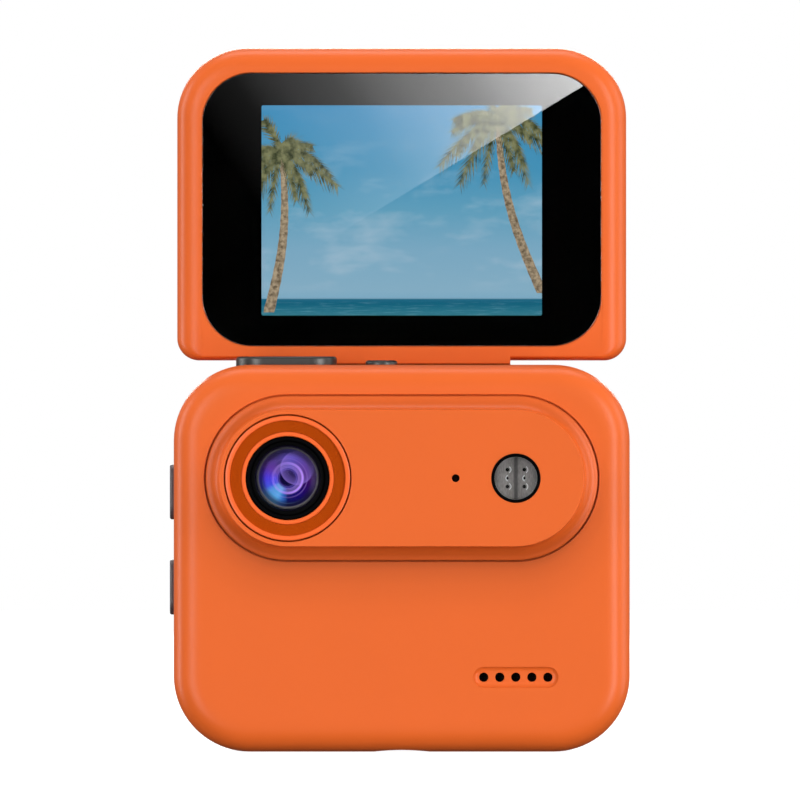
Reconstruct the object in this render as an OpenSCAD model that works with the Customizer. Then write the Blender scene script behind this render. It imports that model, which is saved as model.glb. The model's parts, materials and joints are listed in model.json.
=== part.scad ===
// Action camera with a flip-up screen, in millimetres.
// The camera stands on its base at z = 0, looks towards -Y, and has +Z up.
// The screen is drawn opened upwards; it folds back and down onto the rear.

/* [Camera body] */
// Width of the body
body_w = 66; // [64:1:72]
// Height of the body
body_h = 56; // [55:1:60]
// Distance from the body's middle plane to its front or rear face
half_d = 11.5; // [11.5:0.5:13]
// Corner radius seen from the front
body_corner = 11; // [9:0.5:12]
// Rounding of the front edges
front_edge = 4.5; // [3:0.5:4.5]
// Rounding of the rear edges
rear_edge = 3; // [2:0.5:3.5]
// Wall thickness of both shells
wall = 1.6; // [1.4:0.1:1.8]
// Where the two shells meet, behind the middle plane
seam_y = 5; // [4.9:0.1:5.2]

/* [Lens plate] */
// Height of the lens, microphone and light above the base
plate_z = 39.6; // [38:0.2:40]
// Distance of the lens and the light from the middle
plate_reach = 16.5; // [16:0.5:17]
// Radius of the plate's round ends, at the seam in the front face
plate_r = 12; // [11.5:0.1:12]
// How far the plate stands out of the front face
plate_rise = 2.2; // [1.5:0.1:2.5]
// Radius of the hollow curve around the plate's foot
cove_r = 2.1; // [1:0.1:2.1]

/* [Lens] */
// Radius of the trim ring around the lens
trim_r = 9.1; // [8.8:0.1:9.2]
// Radius of the lens barrel
barrel_r = 6; // [5.5:0.1:6]
// Radius of the front element
front_glass_r = 4.65; // [4.2:0.05:4.8]
// Number of fine grooves in the ring around the barrel
groove_count = 6; // [4:1:7]

/* [Light and microphone] */
// Radius of the light's window
light_r = 3.08; // [2.8:0.02:3.2]
// Distance of the light's small cups from its middle, sideways and upwards
cup_offset = 1.22; // [1.1:0.02:1.3]
// Sideways place of the microphone hole
mic_x = 7.8; // [6:0.2:9]
// Radius of the microphone hole
mic_r = 0.6; // [0.4:0.1:0.8]

/* [Speaker] */
// Sideways place of the speaker
speaker_x = 16.5; // [15:0.5:17]
// Height of the speaker's holes above the base
speaker_z = 10.8; // [10:0.2:12]
// Number of sound holes
hole_count = 5; // [3:1:5]
// Distance between sound holes
hole_pitch = 2.32; // [2.2:0.02:2.5]

/* [Buttons] */
// Sideways place of the shutter button
shutter_x = -16.7; // [-17:0.1:-15]
// Length of the shutter button
shutter_len = 14.6; // [12:0.2:14.6]
// Depth of the shutter button
shutter_wide = 7.8; // [6:0.2:8]
// Sideways place of the power button
power_x = -2.95; // [-3:0.05:0]
// Radius of the power button
power_r = 2.33; // [2:0.01:2.5]
// Length of each side button
side_len = 8; // [6:0.5:8]
// Height of the upper side button above the base
upper_side_z = 37.6; // [36:0.2:40]
// Height of the lower side button above the base
lower_side_z = 23.8; // [22:0.2:26]

/* [Port door] */
// Height of the door's lower end above the base
door_low = 12.6; // [12.4:0.1:14]
// Height of the door's hinged end above the base
door_high = 43.9; // [43:0.1:44]
// Width of the door
door_wide = 8; // [7:0.5:8]

/* [Screen] */
// Width of the flip screen
screen_w = 65.2; // [64:0.2:66]
// Height of the flip screen
screen_h = 45.4; // [44:0.1:47]
// Thickness of the flip screen
screen_t = 7.5; // [7.5:0.1:9]
// Radius of the screen's top corners
screen_top_r = 10.2; // [9:0.2:11]
// Radius of the screen's bottom corners
screen_foot_r = 3.2; // [2:0.1:3.5]
// Rounding of the screen's front edges
screen_edge = 3.5; // [2:0.1:3.6]
// Width of the cover glass
glass_w = 57.9; // [56:0.1:58]
// Height of the cover glass
glass_h = 39.6; // [38:0.1:39.7]
// Gap between the body's top and the opened screen
screen_gap = 0.65; // [0.5:0.05:0.8]
// Gap between the body's top and the screen's hinge tongue
tongue_gap = 0.15; // [0.15:0.05:0.4]

/* [Hinge] */
// Height of the hinge line below the body's top
hinge_drop = 2.6; // [2.6:0.1:3]
// Half the length of the screen's hinge barrel
knuckle_half = 15.8; // [14:0.2:16]
// Radius of the hinge barrel
knuckle_r = 2.6; // [2.4:0.1:2.6]
// Radius of the hinge pins
pin_r = 0.9; // [0.7:0.1:1]

/* [Tripod thread] */
// Wall radius of the 1/4 inch thread
thread_r = 2.6; // [2.5:0.05:2.7]
// Depth of the thread
thread_deep = 6.2; // [5:0.2:6.4]

/* [Hidden] */
$fn = 96;

// Small distances used all over
fit_gap = 0.05;     // between pieces that are fastened together
slide_gap = 0.15;   // around a button or door that moves
past = 0.5;         // how far a cutter runs past a surface

// Places that follow from the driving dimensions
inner_x = body_w / 2 - wall;
inner_y = half_d - wall;
inner_top = body_h - wall;
lens_at = [-plate_reach, plate_z];
light_at = [plate_reach, plate_z];
mic_at = [mic_x, plate_z];
plate_lip = 0.85;                            // thickness of the plate's sunk foot
plate_seat = half_d - plate_lip - fit_gap;   // floor of the pocket it sits in
plate_top = half_d + plate_rise;
trim_top = plate_top + 0.2;
screen_z = body_h + screen_gap;
screen_back = half_d - 0.1;
screen_front = screen_back - screen_t;
hinge_y = half_d + 0.1;
hinge_z = body_h - hinge_drop;
board_y = 1.6;                               // front face of the main board
board_t = 1;
boss_at = [[-25.5, 6.6], [25.5, 6.6], [-25.5, 49.4], [25.5, 49.4]];
post_at = [[-26, 13], [26.5, 12.5], [11, 44.2]];
pad_at = [[-22, 14], [22, 14]];
top_row_y = -3.2;                            // middle of the two top buttons
side_row_y = -1.5;                           // middle of the two side buttons
side_zs = [upper_side_z, lower_side_z];
door_y = -0.5;                               // middle of the port door
door_skin = 1.1;                             // thickness of the port door
door_axis = [body_w / 2 - 0.65, door_high - 0.75];
door_barrel_r = 0.65;
door_floor_x = body_w / 2 - 1.65;            // floor of the door's recess
door_pin_r = 0.3;
door_corner = 2;                             // radius of the door's two lower corners
usb_at = [-0.1, 21];                         // depth and height of the USB socket
card_at = [0.85, 34];                        // depth and height of the card slot
card_half = 5.5;                             // half the width of the memory card
glass_z = screen_z + 2.1 + glass_h / 2;      // middle of the cover glass
led_at = [for (x = [-1, 1], z = [-1:1]) [plate_reach + x * cup_offset, plate_z + z * cup_offset]];

// ---- Shared shapes ----

// A box given by its lowest and highest corners
module box(low, high) {
    translate(low) cube(high - low);
}

// Turns the drawing so that its Z becomes the distance towards the front
module facing() {
    rotate([90, 0, 0]) children();
}

// Turns the drawing so that its X is depth, its Y is height and its Z is sideways
module sideways() {
    rotate([90, 0, 90]) children();
}

// A rectangle with round corners, centred
module rounded_rect(w, h, r) {
    square([w - 2 * r, h], center = true);
    square([w, h - 2 * r], center = true);
    for (x = [-1, 1], y = [-1, 1]) {
        translate([x * (w / 2 - r), y * (h / 2 - r)]) circle(r);
    }
}

// A slot shape with round ends, centred, along X
module stadium(length, wide) {
    square([length - wide, wide], center = true);
    for (x = [-1, 1]) {
        translate([x * (length - wide) / 2, 0]) circle(wide / 2);
    }
}

// A round disc on the front axis, between two distances from the middle plane
module disc(at, back, front, r) {
    translate([at[0], at[1], back]) cylinder(h = front - back, r = r);
}

// A round ring on the front axis
module ring(at, back, front, outer, inner) {
    difference() {
        disc(at, back, front, outer);
        disc(at, back - past, front + past, inner);
    }
}

// Section through the rim of a block whose front edge is rounded
module rim_section(reach, depth, edge) {
    square([reach, depth - edge]);
    square([reach - edge, depth]);
    translate([reach - edge, depth - edge]) circle(edge);
}

// A block with round corners and a rounded front edge, standing on y = 0
module rounded_block(w, h, depth, corner, edge) {
    span = [w - 2 * corner, h - 2 * corner];
    translate([-span[0] / 2, corner, 0]) cube([span[0], span[1], depth]);
    translate([0, h / 2, 0]) {
        for (turn = [0:3]) {
            along = turn % 2 == 0 ? span[1] : span[0];
            out = turn % 2 == 0 ? span[0] : span[1];
            rotate(90 * turn) translate([out / 2, along / 2, 0]) {
                rotate([90, 0, 0]) linear_extrude(along) rim_section(corner, depth, edge);
                rotate_extrude(angle = 90) rim_section(corner, depth, edge);
            }
        }
    }
}

// The body's outline shrunk by an inset, from the shell seam to the front face
module front_block(inset) {
    facing() translate([0, inset, -seam_y - (inset > 0 ? past : 0)])
        rounded_block(body_w - 2 * inset, body_h - 2 * inset,
            half_d + seam_y - inset + (inset > 0 ? past : 0), body_corner - inset, front_edge - inset);
}

// The body's outline shrunk by an inset, from the shell seam to the rear face
module rear_block(inset) {
    facing() mirror([0, 0, 1]) translate([0, inset, seam_y - (inset > 0 ? past : 0)])
        rounded_block(body_w - 2 * inset, body_h - 2 * inset,
            half_d - seam_y - inset + (inset > 0 ? past : 0), body_corner - inset, rear_edge - inset);
}

// A closed band that follows the seam inside the wall
module seam_band(outer_inset, inner_inset, half_t) {
    facing() translate([0, body_h / 2, -seam_y - half_t]) linear_extrude(2 * half_t) difference() {
        rounded_rect(body_w - 2 * outer_inset, body_h - 2 * outer_inset, body_corner - outer_inset);
        rounded_rect(body_w - 2 * inner_inset, body_h - 2 * inner_inset, body_corner - inner_inset);
    }
}

// Section through the lens plate, from its middle line outwards
module plate_section(reach) {
    difference() {
        square([reach, plate_lip + plate_rise]);
        translate([plate_r, plate_lip + cove_r]) circle(cove_r);
    }
}

// The shutter button's outline between two heights, grown by a gap
module top_slot(low, high, grow) {
    translate([shutter_x, top_row_y, low]) linear_extrude(high - low)
        stadium(shutter_len + 2 * grow, shutter_wide + 2 * grow);
}

// A side button's outline between two sideways places, grown by a gap
module side_slot(z, low, high, grow) {
    translate([low, 0, 0]) sideways() translate([side_row_y, z, 0]) linear_extrude(high - low)
        rotate(90) stadium(side_len + 2 * grow, side_len / 2 + 2 * grow);
}

// The port door's outline seen from the side, grown by a gap
module door_outline(low, high, grow) {
    half = door_wide / 2 + grow;
    foot = door_low - grow;
    bend_z = foot + door_corner;
    translate([low, 0, 0]) sideways() linear_extrude(high - low) {
        translate([door_y - half, bend_z]) square([2 * half, door_high + grow - bend_z]);
        translate([door_y - half + door_corner, foot]) square([2 * (half - door_corner), door_corner + 1]);
        for (side = [-1, 1]) {
            translate([door_y + side * (half - door_corner), bend_z]) circle(door_corner);
        }
    }
}

// A countersunk screw pointing towards the front, its head at the rear
module screw(at, head_y, length, r) {
    translate([at[0], head_y, at[1]]) rotate([90, 0, 0]) {
        difference() {
            cylinder(h = 0.9, r = 1.9 * r);
            translate([0, 0, -past]) cylinder(h = past + 0.4, r = 0.9 * r, $fn = 6);
        }
        cylinder(h = length, r = r);
    }
}

// ---- Body shells ----

// Everything inside the front shell that stays solid
module front_shell_ribs() {
    for (at = boss_at) facing() disc(at, -seam_y - 1, half_d - 1, 2.2);
    for (at = post_at) facing() disc(at, -board_y + fit_gap, half_d - 1, 1.8);
    box([-6.2, -6.2, wall - past], [6.2, 4.5, thread_deep + 2.4]);
    box([door_floor_x - 1.15, -6.2, 11], [body_w / 2, seam_y + 1, 46]);
}

module front_shell_cuts() {
    // Pocket and holes behind the lens plate
    facing() translate([0, plate_z, plate_seat]) linear_extrude(plate_lip + past + fit_gap)
        stadium(2 * (plate_reach + plate_r) + 0.2, 2 * plate_r + 0.2);
    facing() disc(lens_at, 0, half_d, 8.1);
    facing() disc(light_at, 0, half_d, 3.3);
    facing() disc(mic_at, 0, half_d, 1.6);
    // Speaker recess and its row of holes
    facing() translate([speaker_x, speaker_z, half_d - 0.5]) linear_extrude(past + 0.5) stadium(12.2, 2.9);
    for (i = [0:hole_count - 1]) {
        x = speaker_x + (i - (hole_count - 1) / 2) * hole_pitch;
        facing() disc([x, speaker_z], inner_y - past, half_d, 0.65);
    }
    // Button openings
    top_slot(inner_top - past, body_h + past, slide_gap);
    translate([power_x, top_row_y, inner_top - past]) cylinder(h = wall + 2 * past, r = power_r + slide_gap);
    for (z = side_zs) side_slot(z, -body_w / 2 - past, -inner_x + past, slide_gap);
    // Door recess, its nail notch, its pin and the two port mouths
    door_outline(door_floor_x, body_w / 2 + past, slide_gap);
    box([body_w / 2 - 0.8, door_y - 2, door_low - 1.2], [body_w / 2 + past, door_y + 2, door_low + 0.5]);
    translate([door_axis[0], door_y - 5, door_axis[1]]) rotate([-90, 0, 0]) cylinder(h = 10, r = door_pin_r);
    translate([door_floor_x - 2, 0, 0]) sideways() translate([usb_at[0], usb_at[1], 0])
        linear_extrude(3) rotate(90) stadium(9.3, 3.6);
    box([door_floor_x - 2, card_at[0] - 0.75, card_at[1] - card_half - 0.3],
        [door_floor_x + past, card_at[0] + 0.75, card_at[1] + card_half + 0.3]);
    // Screw pilots, thread insert and the shallow channel under the base
    for (at = boss_at) facing() disc(at, -seam_y - past, 1, 0.75);
    for (at = post_at) facing() disc(at, -board_y - past, 4, 0.6);
    translate([0, 0, -past]) cylinder(h = thread_deep + 1.25 + past, r = 4.2);
    base_channel();
    seam_band(0.48, 1.12, 0.42);
}

// A shallow hollow along the base that lets a tripod plate seat flat
module base_channel() {
    channel_r = 33.7;
    translate([0, -half_d - past, 0.25 - channel_r]) rotate([-90, 0, 0])
        cylinder(h = 2 * (half_d + past), r = channel_r, $fn = 360);
}

module front_shell() {
    color([0.93, 0.42, 0.2]) difference() {
        front_block(0);
        difference() {
            front_block(wall);
            front_shell_ribs();
        }
        front_shell_cuts();
    }
}

module rear_shell() {
    trough_half = knuckle_half + 3.8;
    ear_from = knuckle_half + 0.3;
    color([0.93, 0.42, 0.2]) difference() {
        union() {
            difference() {
                rear_block(0);
                difference() {
                    rear_block(wall);
                    box([-trough_half, 7.6, hinge_z - 4], [trough_half, half_d + 1, body_h + 1]);
                    for (at = boss_at) facing() disc(at, -half_d, -seam_y + 1, 2.2);
                }
            }
            // Ears that hold the hinge pins
            for (side = [-1, 1]) {
                translate([side > 0 ? ear_from : -trough_half, hinge_y, hinge_z]) rotate([0, 90, 0])
                    cylinder(h = trough_half - ear_from, r = knuckle_r - 0.1);
            }
        }
        // Room for the screen's barrel and neck
        translate([-ear_from, hinge_y, hinge_z]) rotate([0, 90, 0])
            cylinder(h = 2 * ear_from, r = knuckle_r + 0.3);
        box([-ear_from, hinge_y - knuckle_r - 0.25, hinge_z], [ear_from, half_d + 5, body_h + 1]);
        // Pin bores, ribbon slot, screws, pads, gasket groove and base channel
        translate([-knuckle_half - 3.2, hinge_y, hinge_z]) rotate([0, 90, 0])
            cylinder(h = 2 * (knuckle_half + 3.2), r = pin_r);
        box([-6, 7, hinge_z - 1.4], [6, 9.5, hinge_z - 0.6]);
        for (at = boss_at) {
            facing() disc(at, -half_d - past, -seam_y + past, 1.0);
            facing() disc(at, -half_d - past, -half_d + 1.4, 1.75);
        }
        for (at = pad_at) facing() disc(at, -half_d - past, -half_d + 0.6, 2.5);
        base_channel();
        seam_band(0.48, 1.12, 0.42);
    }
}

module case_gasket() {
    color([0.12, 0.12, 0.13]) seam_band(0.5, 1.1, 0.4);
}

module case_screws() {
    color([0.7, 0.7, 0.72]) for (at = boss_at) screw(at, half_d - 0.4, 8, 0.85);
}

module tripod_insert() {
    color([0.78, 0.65, 0.36]) translate([0, 0, 0.25]) difference() {
        cylinder(h = thread_deep + 1, r = 4.15);
        translate([0, 0, -past]) cylinder(h = thread_deep + past, r = thread_r);
    }
}

// Two soft discs that the folded screen comes to rest on
module rest_pads() {
    color([0.15, 0.15, 0.16]) for (at = pad_at) facing() disc(at, -half_d - 0.2, -half_d + 0.55, 2.45);
}

// ---- Lens plate and lens ----

module lens_plate() {
    color([0.93, 0.42, 0.2]) facing() difference() {
        translate([0, plate_z, half_d - plate_lip]) {
            for (side = [-1, 1]) {
                translate([side * plate_reach, 0, 0]) rotate(-side * 90)
                    rotate_extrude(angle = 180) plate_section(plate_r - 0.15);
                mirror([0, side < 0 ? 1 : 0, 0]) rotate([90, 0, 90]) translate([0, 0, -plate_reach])
                    linear_extrude(2 * plate_reach) plate_section(plate_r - 0.15);
            }
        }
        disc(lens_at, half_d - 0.3, plate_top + past, trim_r + 0.05);
        disc(lens_at, half_d - 2, plate_top, 8.1);
        disc(light_at, half_d - 2, plate_top + past, 3.58);
        disc(mic_at, half_d - 2, plate_top + past, mic_r);
    }
}

// Trim ring with a channel that holds the grooved ring
module lens_ring() {
    color([0.9, 0.4, 0.18]) facing() difference() {
        ring(lens_at, half_d - 0.25, trim_top, trim_r, barrel_r + 0.08);
        ring(lens_at, plate_top - 0.9, trim_top + past, trim_r - 0.7, barrel_r + 0.68);
        disc(lens_at, plate_top - 0.3, trim_top + past, barrel_r + 0.68);
    }
}

// Ring with fine concentric grooves that slopes down towards the barrel
module lens_groove_ring() {
    outer = trim_r - 0.75;
    inner = barrel_r + 0.73;
    base = plate_top - 0.88;
    step = (outer - inner) / groove_count;
    crest = [for (i = [0:groove_count - 1]) each [
        [outer - i * step, base + 0.78 - 0.03 * i],
        [outer - (i + 0.75) * step, base + 0.76 - 0.03 * i],
        [outer - (i + 0.8) * step, base + 0.55 - 0.03 * i]
    ]];
    color([0.6, 0.24, 0.06]) facing() translate([lens_at[0], lens_at[1], 0]) rotate_extrude()
        polygon(concat([[inner, base], [outer, base]], crest, [[inner, base + 0.55 - 0.03 * groove_count]]));
}

// Barrel with a stepped bore for the glass, the stop and the retaining ring
module lens_barrel() {
    color([0.05, 0.05, 0.06]) facing() difference() {
        disc(lens_at, 1.5, plate_top - 0.35, barrel_r);
        disc(lens_at, 10.4, plate_top, 5.4);
        disc(lens_at, 9.2, 10.4 + past, 4.7);
        disc(lens_at, 4.6, 9.2 + past, 3.9);
        disc(lens_at, 1, 4.6 + past, 3.3);
    }
}

module lens_retaining_ring() {
    color([0.04, 0.04, 0.05]) facing() ring(lens_at, 11.8, 12.9, 5.35, 4.5);
}

// A lens with one domed side, its flat side at the back
module dome_lens(back, edge_front, r, sphere_r) {
    drop = sqrt(sphere_r * sphere_r - r * r);
    facing() translate([lens_at[0], lens_at[1], 0]) intersection() {
        translate([0, 0, back]) cylinder(h = 20, r = r);
        translate([0, 0, edge_front - drop]) sphere(r = sphere_r);
    }
}

module front_element() {
    color([0.45, 0.4, 0.7, 0.5]) dome_lens(9.8, 11.7, front_glass_r, 10);
}

module second_element() {
    color([0.4, 0.5, 0.8, 0.5]) dome_lens(7.2, 8.2, 3.85, 8);
}

module aperture_stop() {
    color([0.03, 0.03, 0.03]) facing() ring(lens_at, 6.2, 6.5, 3.85, 1.3);
}

module rear_element() {
    color([0.4, 0.6, 0.8, 0.5]) dome_lens(2.4, 3.2, 3.25, 7);
}

// Holder that carries the barrel in front of the image sensor
module lens_mount() {
    color([0.08, 0.08, 0.09]) facing() difference() {
        union() {
            translate([lens_at[0] - 8, lens_at[1] - 7, -0.2]) cube([16, 14, 1.6]);
            disc(lens_at, -0.2, 7, 7);
        }
        disc(lens_at, 1.45, 7 + past, barrel_r + 0.02);
        translate([lens_at[0] - 4.6, lens_at[1] - 4.2, -1]) cube([9.2, 8.4, 3]);
    }
}

// A flat square piece centred on the lens, between two distances from the middle plane
module behind_lens(w, h, back, front) {
    facing() translate([lens_at[0] - w / 2, lens_at[1] - h / 2, back]) cube([w, h, front - back]);
}

module ir_filter() {
    color([0.4, 0.7, 0.8, 0.5]) behind_lens(9, 8.2, 0.8, 1.15);
}

module image_sensor() {
    color([0.2, 0.25, 0.3]) behind_lens(8.4, 7.6, -0.2, 0.6);
}

module sensor_board() {
    color([0.05, 0.25, 0.15]) behind_lens(17, 15, -1.1, -0.25);
}

// ---- Light and microphone ----

module led_bezel() {
    color([0.05, 0.05, 0.06]) facing() ring(light_at, half_d - 0.8, plate_top + 0.08, 3.54, light_r + 0.03);
}

module led_window() {
    color([0.9, 0.92, 0.95, 0.4]) facing() disc(light_at, plate_top - 1, plate_top, light_r);
}

module led_reflector() {
    color([0.6, 0.6, 0.62]) facing() difference() {
        disc(light_at, plate_top - 2.4, plate_top - 1.2, light_r);
        for (at = led_at) disc(at, plate_top - 3, plate_top, 0.45);
    }
}

module led_chips() {
    color([0.9, 0.85, 0.5]) for (at = led_at) facing() translate([at[0] - 0.3, at[1] - 0.3, plate_top - 2.45])
        cube([0.6, 0.6, 0.6]);
}

module led_board() {
    color([0.85, 0.86, 0.85]) facing() disc(light_at, plate_top - 3, plate_top - 2.45, light_r);
}

module microphone() {
    color([0.75, 0.75, 0.78]) facing() {
        translate([mic_at[0] - 2, mic_at[1] - 1.5, inner_y - 1.5]) cube([4, 3, 1.1]);
        translate([mic_at[0] - 3.5, mic_at[1] - 2.5, inner_y - 1.9]) cube([7, 5, 0.4]);
    }
}

module mic_gasket() {
    color([0.1, 0.1, 0.11]) facing() ring(mic_at, inner_y - 0.38, plate_seat + fit_gap, 1.5, mic_r + 0.05);
}

// ---- Speaker ----

module speaker() {
    color([0.2, 0.2, 0.22]) facing() {
        difference() {
            translate([speaker_x, speaker_z, 6]) linear_extrude(3.3) rounded_rect(13, 11, 1.5);
            translate([speaker_x, speaker_z, 8.9]) linear_extrude(1) rounded_rect(11, 9, 1);
        }
        disc([speaker_x, speaker_z], 8.8, 9.2, 3);
    }
}

module speaker_mesh() {
    color([0.08, 0.08, 0.09]) facing() translate([speaker_x, speaker_z, inner_y - 0.35]) linear_extrude(0.3)
        stadium(12.6, 3.6);
}

// ---- Boards, battery and aerial ----

module main_board() {
    color([0.05, 0.3, 0.2]) facing() difference() {
        translate([-28.5, 9.6, -board_y - board_t]) cube([56.5, 36.8, board_t]);
        for (at = post_at) disc(at, -board_y - board_t - past, -board_y + past, 0.9);
    }
}

module board_screws() {
    color([0.7, 0.7, 0.72]) for (at = post_at) screw(at, board_y + board_t + 0.93, 5.5, 0.58);
}

// A chip or shield on the front face of the main board
module on_board(low_x, low_z, w, h, t) {
    box([low_x, board_y - t, low_z], [low_x + w, board_y, low_z + h]);
}

module main_processor() {
    color([0.1, 0.1, 0.11]) on_board(0, 18, 12, 12, 1);
}

module main_shield() {
    color([0.78, 0.79, 0.8]) difference() {
        on_board(-2, 16, 16, 16, 1.7);
        box([-1.8, board_y - 1.5, 16.2], [13.8, board_y + past, 31.8]);
    }
}

module memory_chip() {
    color([0.1, 0.1, 0.11]) on_board(-14, 18, 9, 11, 0.9);
}

module battery() {
    color([0.75, 0.77, 0.8]) {
        facing() translate([0, 27.5, -9.3]) linear_extrude(5.7) rounded_rect(46, 36, 2);
        box([-6, 4.2, 45.4], [6, 7.5, 47]);
    }
}

module battery_pad() {
    color([0.2, 0.2, 0.2]) box([-18, 9.35, 14], [18, inner_y - fit_gap, 41]);
}

module wifi_antenna() {
    color([0.75, 0.55, 0.2]) box([3, -5, inner_top - 0.4], [21, 1, inner_top - fit_gap]);
}

// ---- Buttons ----

// The flanges lie against the inside of the wall and keep the buttons in;
// the stem overlaps its flange by a little so that they are one solid
module shutter_button() {
    color([0.3, 0.3, 0.29]) {
        top_slot(inner_top - 0.06, body_h + 1.2, 0);
        box([shutter_x - 4.5, top_row_y - 4.3, inner_top - 0.65],
            [shutter_x + 4.5, top_row_y + 4.3, inner_top - fit_gap]);
    }
}

module power_button() {
    color([0.3, 0.3, 0.29]) {
        translate([power_x, top_row_y, inner_top - 0.06]) cylinder(h = wall + 0.06 + 0.65, r = power_r);
        translate([power_x, top_row_y, inner_top - 0.65]) cylinder(h = 0.6, r = power_r + 0.6);
    }
}

// A tact switch, its plunger towards +Z
module tact_switch(base_h) {
    translate([-2.2, -1.6, 0]) cube([4.4, 3.2, base_h - 0.5]);
    cylinder(h = base_h, r = 0.9);
}

module top_switches() {
    color([0.8, 0.8, 0.82]) for (x = [shutter_x, power_x])
        translate([x, top_row_y, inner_top - 3.2]) tact_switch(2);
}

module top_switch_board() {
    color([0.05, 0.3, 0.2]) box([-22, top_row_y - 2.5, inner_top - 3.8],
        [1, top_row_y + 2.5, inner_top - 3.2]);
}

module side_button(z) {
    color([0.33, 0.3, 0.31]) {
        side_slot(z, -body_w / 2 - 0.6, -inner_x + 0.06, 0);
        box([-inner_x + 0.05, side_row_y - 2.5, z - 4.5], [-inner_x + 0.65, side_row_y + 2.5, z + 4.5]);
    }
}

module upper_side_button() {
    side_button(upper_side_z);
}

module lower_side_button() {
    side_button(lower_side_z);
}

module side_switches() {
    color([0.8, 0.8, 0.82]) for (z = side_zs)
        translate([-inner_x + 2.8, side_row_y, z]) rotate([0, -90, 0]) tact_switch(1.65);
}

module side_switch_board() {
    color([0.05, 0.3, 0.2]) box([-inner_x + 2.8, side_row_y - 2.5, lower_side_z - 5],
        [-inner_x + 3.3, side_row_y + 2.5, upper_side_z + 5]);
}

// ---- Port door and ports ----

module port_door() {
    bite = 0.25;
    color([0.93, 0.42, 0.2]) difference() {
        union() {
            difference() {
                door_outline(body_w / 2 - door_skin, body_w / 2, 0);
                box([door_floor_x, door_y - door_wide, door_axis[1]], [body_w, door_y + door_wide, body_h]);
            }
            translate([door_axis[0], door_y - door_wide / 2, door_axis[1]]) rotate([-90, 0, 0])
                cylinder(h = door_wide, r = door_barrel_r);
        }
        translate([door_axis[0], door_y - door_wide, door_axis[1]]) rotate([-90, 0, 0])
            cylinder(h = 2 * door_wide, r = door_pin_r + 0.03);
        // Grip ridges near the free end
        for (z = [14.9, 15.9, 16.9]) {
            box([body_w / 2 - bite, door_y - 2.4, z - 0.2], [body_w / 2 + past, door_y + 2.4, z + 0.2]);
        }
    }
}

module door_seal() {
    color([0.12, 0.12, 0.13]) translate([body_w / 2 - door_skin - 0.4, 0, 0]) sideways()
        translate([door_y, (door_low + door_high) / 2 - 1, 0]) linear_extrude(0.4) rotate(90) stadium(26, 6);
}

module door_hinge_pin() {
    color([0.75, 0.75, 0.78]) translate([door_axis[0], door_y - 4.9, door_axis[1]]) rotate([-90, 0, 0])
        cylinder(h = 9.8, r = door_pin_r);
}

module usb_c_socket() {
    color([0.75, 0.75, 0.78]) translate([door_floor_x - 8.2, 0, 0]) sideways() {
        translate([usb_at[0], usb_at[1], 0]) rotate(90) difference() {
            linear_extrude(8) stadium(8.94, 3.2);
            translate([0, 0, 1]) linear_extrude(8) stadium(8.3, 2.56);
        }
        translate([usb_at[0], usb_at[1], 0.5]) rotate(90) linear_extrude(6.4)
            square([6.6, 0.7], center = true);
    }
}

module card_socket() {
    shell_half = card_half + 1.3;
    slot_half = card_half + 0.1;
    color([0.7, 0.7, 0.73]) difference() {
        box([door_floor_x - 16, card_at[0] - 0.73, card_at[1] - shell_half],
            [door_floor_x - 1.2, board_y - 0.02, card_at[1] + shell_half]);
        box([door_floor_x - 15.6, card_at[0] - 0.5, card_at[1] - slot_half],
            [door_floor_x, card_at[0] + 0.45, card_at[1] + slot_half]);
    }
}

module memory_card() {
    color([0.08, 0.08, 0.09]) box([door_floor_x - 15.5, card_at[0] - 0.45, card_at[1] - card_half],
        [door_floor_x - 0.5, card_at[0] + 0.25, card_at[1] + card_half]);
}

// ---- Flip screen ----

// The screen's outer shape: round at the top, with small corners at its foot
module screen_block() {
    drop = 14;
    cut_t = screen_t + 2;
    foot_x = screen_w / 2 - screen_foot_r;
    facing() difference() {
        translate([0, screen_z - drop, -screen_back])
            rounded_block(screen_w, screen_h + drop, screen_t, screen_top_r, screen_edge);
        translate([-screen_w, screen_z - 2 * drop, -screen_back - 1]) cube([2 * screen_w, 2 * drop, cut_t]);
        for (side = [-1, 1]) {
            mirror([side < 0 ? 1 : 0, 0, 0]) translate([foot_x, screen_z + screen_foot_r, -screen_back - 1])
                difference() {
                    translate([0, -2 * screen_foot_r, 0]) cube([2 * screen_foot_r, 2 * screen_foot_r, cut_t]);
                    cylinder(h = cut_t, r = screen_foot_r + 0.02);
                }
        }
    }
}

// A flat plate with round corners, centred on the cover glass
module screen_plate(w, h, r, front_y, rear_y) {
    facing() translate([0, glass_z, -rear_y]) linear_extrude(rear_y - front_y) rounded_rect(w, h, r);
}

module screen_frame() {
    color([0.93, 0.42, 0.2]) difference() {
        union() {
            screen_block();
            translate([-knuckle_half, hinge_y, hinge_z]) rotate([0, 90, 0])
                cylinder(h = 2 * knuckle_half, r = knuckle_r);
            box([-knuckle_half, hinge_y - knuckle_r + 0.15, hinge_z],
                [knuckle_half, screen_back, screen_z + 1]);
            // Tongue that closes the gap above the body, flush with the screen's front
            box([-knuckle_half, screen_front, body_h + tongue_gap],
                [knuckle_half, screen_back, screen_z + 1]);
        }
        screen_plate(glass_w + 0.1, glass_h + 0.1, 7.3, screen_front - past, screen_front + 1.25);
        screen_plate(glass_w - 2.5, glass_h - 2.5, 6, screen_front + 1, screen_front + 2.5);
        screen_plate(glass_w + 2.1, glass_h + 0.6, 7.5, screen_front + 2.3, screen_back - 1);
        screen_plate(glass_w + 3.3, glass_h + 1, 7.8, screen_back - 1.1, screen_back + past);
        // Bore for the hinge sleeves and the ribbon, and the ribbon's slot
        translate([-knuckle_half - past, hinge_y, hinge_z]) rotate([0, 90, 0])
            cylinder(h = 2 * (knuckle_half + past), r = 1.5);
        box([-6, screen_back - 1.5, hinge_z], [6, screen_back - 1.1, glass_z - glass_h / 2 + past]);
    }
}

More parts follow.
